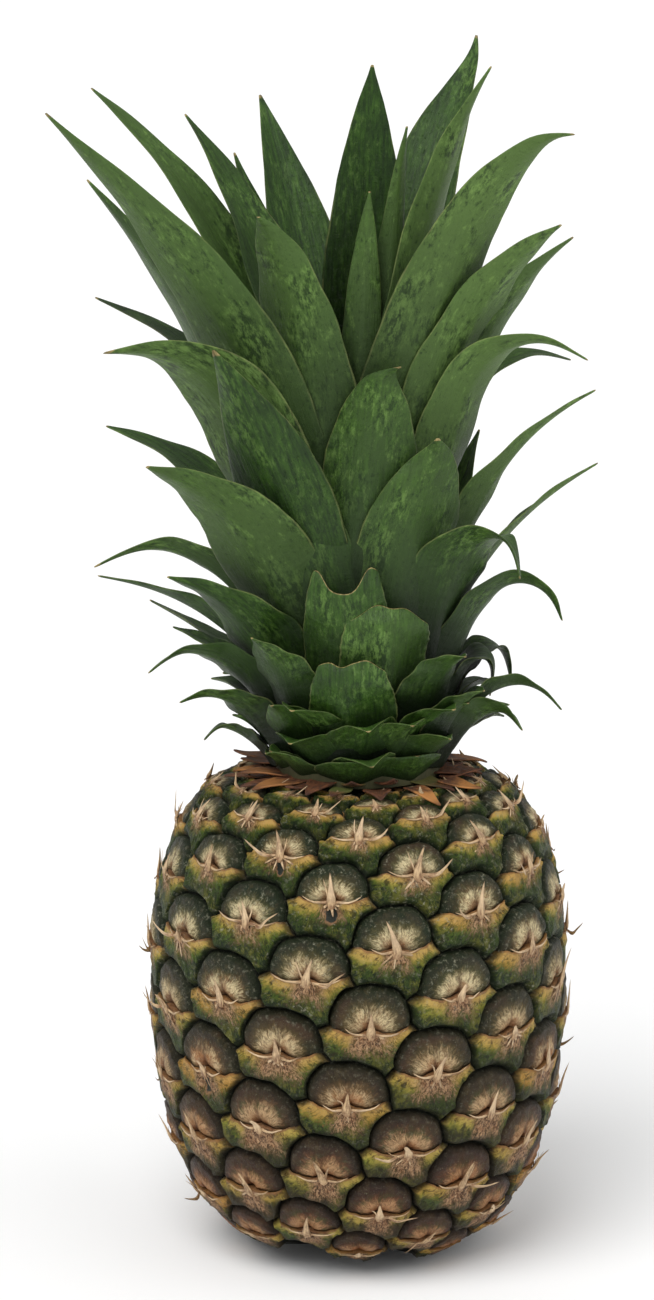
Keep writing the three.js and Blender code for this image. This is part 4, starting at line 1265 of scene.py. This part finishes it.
def strand_forms(level, twin, height):
    """Paths, widths and flatness of one eye's spike and of the strands round its foot."""
    chance = [chance_of(level + 0.37 * k, twin + 31 + k) for k in range(CHANCES)]
    tall = height * (0.72 + 0.62 * chance[0])
    lean = tall * 0.8 * (chance[1] - 0.5)
    stand = 0.3 + 2.2 * chance[2] ** 2
    broken = chance[3] < BROKEN_SPIKES
    if broken:
        tall *= 0.4
    forms = [(
        [
            (0.3 * lean, -3.6, 0.5),
            (-0.1 * lean, -1.2, 1.5),
            (0.2 * lean, 0.28 * tall, 1.7 + 0.2 * stand),
            (0.5 * lean, 0.62 * tall, 1.8 + 0.5 * stand),
            (lean, tall, 1.9 + stand),
        ],
        (0.8, 2.8, 3.0, 1.9, 1.3, 1.4 if broken else 0.8, 0.2),
        0.4,
    )]
    for side in (-1, 1):
        a, b, c = chance[4 + side], chance[6 + side], chance[8 + side]
        reach = 6.5 + 5.0 * a
        forms.append((
            [
                (0.2 * side, -0.5, 1.2),
                (2.4 * side, -1.2 + 0.5 * b, 1.4),
                (0.55 * reach * side, -1.5 + 0.8 * b, 1.1 + 0.5 * c),
                (0.8 * reach * side, -0.7 + 0.9 * b, 1.0 + 0.7 * b),
                (reach * side, -0.2 + 1.9 * b, 0.8 + 1.6 * c * b),
            ],
            (0.9, 1.0, 0.75, 0.5, 0.35, 0.1),
            0.4,
        ))
        if c > 0.5:
            forms.append((
                [
                    (0.7 * side, -0.6, 1.4),
                    ((1.3 + 0.6 * a) * side, 0.35 * tall, 1.9),
                    ((1.5 + 1.8 * b) * side, (0.5 + 0.4 * a) * tall, 2.0 + 1.2 * c),
                ],
                (0.8, 0.6, 0.4, 0.12),
                0.4,
            ))
    roots = 3 + int(3 * chance[10])
    for k in range(roots):
        way = math.radians(-62 + 124 * (k + 0.6 * chance[11]) / max(1, roots - 1))
        length = 3.0 + 4.2 * chance_of(level + k, twin + 83)
        wide = 0.55 + 0.5 * chance[(k + 3) % CHANCES]
        forms.append((
            [
                (0.5 * math.sin(way), -0.9, 1.3),
                (0.55 * length * math.sin(way), -1.0 - 0.5 * length * math.cos(way), 0.75),
                (length * math.sin(way), -1.0 - length * math.cos(way), 0.1),
            ],
            (1.0, wide, 0.8 * wide, 0.2),
            0.45,
        ))
    if chance[12] > 1 - LONG_STRANDS:
        side = 1 if chance[13] > 0.5 else -1
        forms.append((
            [
                (3.0 * side, -1.0, 1.0),
                (6.0 * side, -1.6, 2.6),
                (8.6 * side, -1.0 + 2.0 * chance[15], 4.2),
                ((9.5 + 4.0 * chance[14]) * side, 1.0 + 3.0 * chance[15], 5.2 + 1.8 * chance[14]),
            ],
            (0.8, 1.3, 1.0, 0.6, 0.2),
            0.3,
        ))
    return forms


def make_spikes(settings):
    """A spike and its strands on every eye, each a copy of one grid wrapped into a tapered tube."""
    grid, column, row = new_grid("spike", STRAND_SIDES, STRAND_STEPS)
    pieces = []
    for level in range(EYE_LOWEST_LEVEL + 2, EYE_HIGHEST_LEVEL - 1):
        for twin in (0, 1):
            forms = strand_forms(level, twin, settings.spike_height / MM)
            for k, (path, width, flat) in enumerate(forms):
                piece = copy_of(grid)
                set_places(piece.data, strand_points(column, row, level, twin, path, width, flat))
                set_numbers(piece.data, "tip", row / STRAND_STEPS)
                set_numbers(piece.data, "tone", np.full(len(row), chance_of(level + k, twin + 61)))
                across = column / STRAND_SIDES * max(width) / 10
                set_uv(piece.data, "blade", np.stack([across + level, row / STRAND_STEPS * 0.8 + twin], -1))
                pieces.append(piece)
    bpy.data.objects.remove(grid)
    spikes = join(pieces, "spikes")
    edit(
        spikes,
        lambda: bpy.ops.mesh.remove_doubles(threshold=STRAND_MERGE * MM),
        lambda: bpy.ops.mesh.normals_make_consistent(inside=False),
    )
    smooth_faces(spikes)
    return spikes


# Dried bracts on the fruit's shoulder, round the crown's foot
COLLAR_COLUMNS = 6
COLLAR_STEPS = 10
COLLAR_THICKNESS = 0.7
# Its rings: number of bracts, how far their feet are from the middle of the top, length, width, lift and curl
COLLAR_RINGS = (
    (15, 23, 13, 12, 1.4, 3.6),
    (17, 28, 12, 9, 0.9, 3.0),
)


def collar_points(column, row, turn, start, length, width, lift, curl, twist):
    """A pointed dried bract that lies outwards over the shoulder and lifts at its end."""
    x = 2 * column / COLLAR_COLUMNS - 1
    s = row / COLLAR_STEPS
    along = float(ALONG[-1]) - start - length * s
    half = width / 2 * np.maximum(0.03, (1 - s**1.6)) * (0.8 + 0.2 * np.minimum(1, s / 0.3))
    height = lift + curl * s**2 + 0.12 * half * np.abs(x) ** 1.5 + 0.4 * np.sin(5 * s + turn)
    radius = np.maximum(np.interp(along, ALONG, OUTLINE[:, 0]), 12)
    turns = turn + np.degrees((half * x + twist * s * length) / radius)
    return rind_points(turns, along, height)


def make_collar():
    """A ring of dried bracts, each a copy of one grid."""
    grid, column, row = new_grid("collar", COLLAR_COLUMNS, COLLAR_STEPS)
    pieces = []
    for ring, (count, start, length, width, lift, curl) in enumerate(COLLAR_RINGS):
        for i in range(count):
            chance = [chance_of(i + 3.1 * k, ring + 41 + k) for k in range(6)]
            turn = 360 / count * (i + 0.5 * ring) + 14 * (chance[0] - 0.5)
            piece = copy_of(grid)
            points = collar_points(
                column, row, turn, start + 5 * (chance[1] - 0.5), length * (0.7 + 0.6 * chance[2]),
                width * (0.75 + 0.5 * chance[3]), lift, curl * (2 * chance[4] - 0.4), 0.5 * (chance[5] - 0.5),
            )
            set_places(piece.data, points)
            x = 2 * column / COLLAR_COLUMNS - 1
            blade = np.stack([x * width / 20 + 3 * i, row / COLLAR_STEPS * length / 10], -1)
            set_uv(piece.data, "blade", blade)
            set_numbers(piece.data, "tip", row / COLLAR_STEPS)
            set_numbers(piece.data, "tone", np.full(len(row), chance[1]))
            pieces.append(piece)
    bpy.data.objects.remove(grid)
    collar = join(pieces, "dried_bracts")
    solid = collar.modifiers.new("thickness", "SOLIDIFY")
    solid.thickness = COLLAR_THICKNESS * MM
    solid.offset = 0
    rounded = collar.modifiers.new("rounding", "SUBSURF")
    rounded.levels = rounded.render_levels = 1
    apply_modifiers(collar)
    smooth_faces(collar)
    return collar


# Where the photograph was taken from: the camera looks down a little from the front
CAMERA_AIM = (-0.00992, 0.0, 0.1909)
CAMERA_DISTANCE = 1.6
CAMERA_DOWN = 13
FIELD_PIXELS = 1300
FOCAL_PIXELS = 5161
SENSOR_WIDTH = 36
FLOOR_SIZE = 120
# The lamps: the side each shines from, how soft it is in degrees, and its share of the main lamp's strength
LAMPS = {
    "key": ((-0.55, -1.0, 1.5), 45, 1.0),
    "fill": ((1.2, -0.6, 0.9), 70, 0.3),
}


def make_stage(settings):
    """The floor, the lights and the camera."""
    nothing_selected()
    bpy.ops.mesh.primitive_plane_add(size=FLOOR_SIZE)
    floor = bpy.context.object
    floor.name = "floor"
    finish = Finish("floor")
    finish.set(base_color=(*settings.floor_colour, 1.0), roughness=0.9)
    floor.data.materials.append(finish.material)

    # Colours as they are, without a film look
    bpy.context.scene.view_settings.view_transform = "Standard"
    world = bpy.data.worlds.new("studio")
    bpy.context.scene.world = world
    world.use_nodes = True
    background = world.node_tree.nodes["Background"]
    background.inputs["Color"].default_value = (1.0, 1.0, 1.0, 1.0)
    background.inputs["Strength"].default_value = settings.room_light

    for name, (place, spread, strength) in LAMPS.items():
        light = bpy.data.lights.new(name, "SUN")
        light.angle = math.radians(spread)
        light.energy = settings.key_light * strength
        lamp = bpy.data.objects.new(name, light)
        bpy.context.collection.objects.link(lamp)
        lamp.location = place
        lamp.rotation_euler = (-Vector(place)).to_track_quat("-Z", "Y").to_euler()

    down = math.radians(CAMERA_DOWN)
    lens = bpy.data.cameras.new("camera")
    lens.sensor_width = SENSOR_WIDTH
    lens.lens = FOCAL_PIXELS * SENSOR_WIDTH / FIELD_PIXELS
    lens.clip_end = 100
    camera = bpy.data.objects.new("camera", lens)
    bpy.context.collection.objects.link(camera)
    away = Vector((0, -math.cos(down), math.sin(down))) * CAMERA_DISTANCE
    camera.location = Vector(CAMERA_AIM) + away
    camera.rotation_euler = (math.radians(90) - down, 0, 0)
    bpy.context.scene.camera = camera


# The add-on's settings, operators and panel

class RindSettings(bpy.types.PropertyGroup):
    dome_radius: FloatProperty(
        name="Dome Radius", description="Half the width of an eye's dome on the widest part",
        default=0.0132, min=0.011, max=0.0145, unit="LENGTH",
    )
    dome_height: FloatProperty(
        name="Dome Height", description="How far an eye's dome reaches above its bract",
        default=0.0138, min=0.011, max=0.0145, unit="LENGTH",
    )
    groove_depth: FloatProperty(
        name="Groove Depth", description="How deep the grooves between eyes are",
        default=0.003, min=0.001, max=0.005, unit="LENGTH",
    )


class SpikeSettings(bpy.types.PropertyGroup):
    spike_height: FloatProperty(
        name="Spike Height", description="How tall the dry spikes on the eyes are",
        default=0.0072, min=0.002, max=0.012, unit="LENGTH",
    )


class CrownSettings(bpy.types.PropertyGroup):
    leaf_thickness: FloatProperty(
        name="Leaf Thickness", description="How thick a crown leaf is along its middle",
        default=0.0013, min=0.0005, max=0.003, unit="LENGTH",
    )
    fresh_colour: FloatVectorProperty(
        name="Fresh Green", description="Colour of the greenest parts of the leaves", subtype="COLOR",
        default=srgb(52, 84, 23)[:3], min=0, max=1,
    )
    dark_colour: FloatVectorProperty(
        name="Dark Green", description="Colour of the leaves where their bloom is worn off", subtype="COLOR",
        default=srgb(20, 42, 9)[:3], min=0, max=1,
    )
    bloom_colour: FloatVectorProperty(
        name="Bloom", description="Colour of the waxy bloom on the leaves", subtype="COLOR",
        default=srgb(44, 68, 27)[:3], min=0, max=1,
    )


class StageSettings(bpy.types.PropertyGroup):
    floor_colour: FloatVectorProperty(
        name="Floor", description="Colour of the studio floor", subtype="COLOR",
        default=(0.97, 0.97, 0.97), min=0, max=1,
    )
    room_light: FloatProperty(
        name="Room Light", description="Strength of the light from all round", default=0.53, min=0, max=5,
    )
    key_light: FloatProperty(
        name="Key Light", description="Strength of the main lamp", default=2.05, min=0, max=20,
    )


def hand_over(piece, finish=None, stands_for=None):
    """Gives a piece its finish, says which body it rides on, and hides the model's node that it stands for.
    """
    if finish:
        piece.data.materials.append(finish)
    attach(piece, "root")
    if stands_for:
        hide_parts(stands_for)


class PINEAPPLE_OT_rind(bpy.types.Operator):
    """Builds the rind with all its eyes"""
    bl_idname = "pineapple.rind"
    bl_label = "Rind"

    def execute(self, context):
        rind = make_rind(context.scene.pineapple_rind)
        rind.data.materials.clear()
        hand_over(rind, rind_finish(), "fruit")
        return {"FINISHED"}


class PINEAPPLE_OT_scar(bpy.types.Operator):
    """Builds the scar at the fruit's base"""
    bl_idname = "pineapple.scar"
    bl_label = "Stem Scar"

    def execute(self, context):
        hand_over(make_scar(), scar_finish())
        return {"FINISHED"}


class PINEAPPLE_OT_spikes(bpy.types.Operator):
    """Builds the dry spikes and strands on the eyes"""
    bl_idname = "pineapple.spikes"
    bl_label = "Spikes"

    def execute(self, context):
        hand_over(make_spikes(context.scene.pineapple_spikes), paper_finish())
        return {"FINISHED"}


class PINEAPPLE_OT_collar(bpy.types.Operator):
    """Builds the dried bracts round the crown's foot"""
    bl_idname = "pineapple.collar"
    bl_label = "Dried Bracts"

    def execute(self, context):
        hand_over(make_collar(), dried_bract_finish())
        return {"FINISHED"}


class PINEAPPLE_OT_stem(bpy.types.Operator):
    """Builds the crown's stem with its short foot leaves"""
    bl_idname = "pineapple.stem"
    bl_label = "Crown Stem"

    def execute(self, context):
        hand_over(make_stem(context.scene.pineapple_crown), stands_for="crown_stem")
        return {"FINISHED"}


class PINEAPPLE_OT_leaves(bpy.types.Operator):
    """Builds the leaves of the crown"""
    bl_idname = "pineapple.leaves"
    bl_label = "Crown Leaves"

    def execute(self, context):
        make_leaves(context.scene.pineapple_crown)
        return {"FINISHED"}


class PINEAPPLE_OT_stage(bpy.types.Operator):
    """Builds the studio floor, the lights and the camera"""
    bl_idname = "pineapple.stage"
    bl_label = "Studio"

    def execute(self, context):
        make_stage(context.scene.pineapple_stage)
        return {"FINISHED"}


SETTINGS = {
    "pineapple_rind": RindSettings,
    "pineapple_spikes": SpikeSettings,
    "pineapple_crown": CrownSettings,
    "pineapple_stage": StageSettings,
}
OPERATORS = (
    PINEAPPLE_OT_rind,
    PINEAPPLE_OT_scar,
    PINEAPPLE_OT_spikes,
    PINEAPPLE_OT_collar,
    PINEAPPLE_OT_stem,
    PINEAPPLE_OT_leaves,
    PINEAPPLE_OT_stage,
)


class PINEAPPLE_PT_panel(bpy.types.Panel):
    """Lists the pineapple's settings and the buttons that build it"""
    bl_idname = "PINEAPPLE_PT_panel"
    bl_label = "Pineapple"
    bl_space_type = "VIEW_3D"
    bl_region_type = "UI"
    bl_category = "Pineapple"

    def draw(self, context):
        for name, group in SETTINGS.items():
            box = self.layout.box()
            for key in group.__annotations__:
                box.prop(getattr(context.scene, name), key)
        for operator in OPERATORS:
            self.layout.operator(operator.bl_idname)


def register():
    for group in SETTINGS.values():
        bpy.utils.register_class(group)
    for operator in OPERATORS:
        bpy.utils.register_class(operator)
    bpy.utils.register_class(PINEAPPLE_PT_panel)
    for name, group in SETTINGS.items():
        setattr(bpy.types.Scene, name, PointerProperty(type=group))


def unregister():
    for name in SETTINGS:
        delattr(bpy.types.Scene, name)
    bpy.utils.unregister_class(PINEAPPLE_PT_panel)
    for operator in reversed(OPERATORS):
        bpy.utils.unregister_class(operator)
    for group in SETTINGS.values():
        bpy.utils.unregister_class(group)


def main():
    register()
    bpy.ops.pineapple.rind()
    bpy.ops.pineapple.scar()
    bpy.ops.pineapple.spikes()
    bpy.ops.pineapple.collar()
    bpy.ops.pineapple.stem()
    bpy.ops.pineapple.leaves()
    bpy.ops.pineapple.stage()


if __name__ == "__main__":
    main()
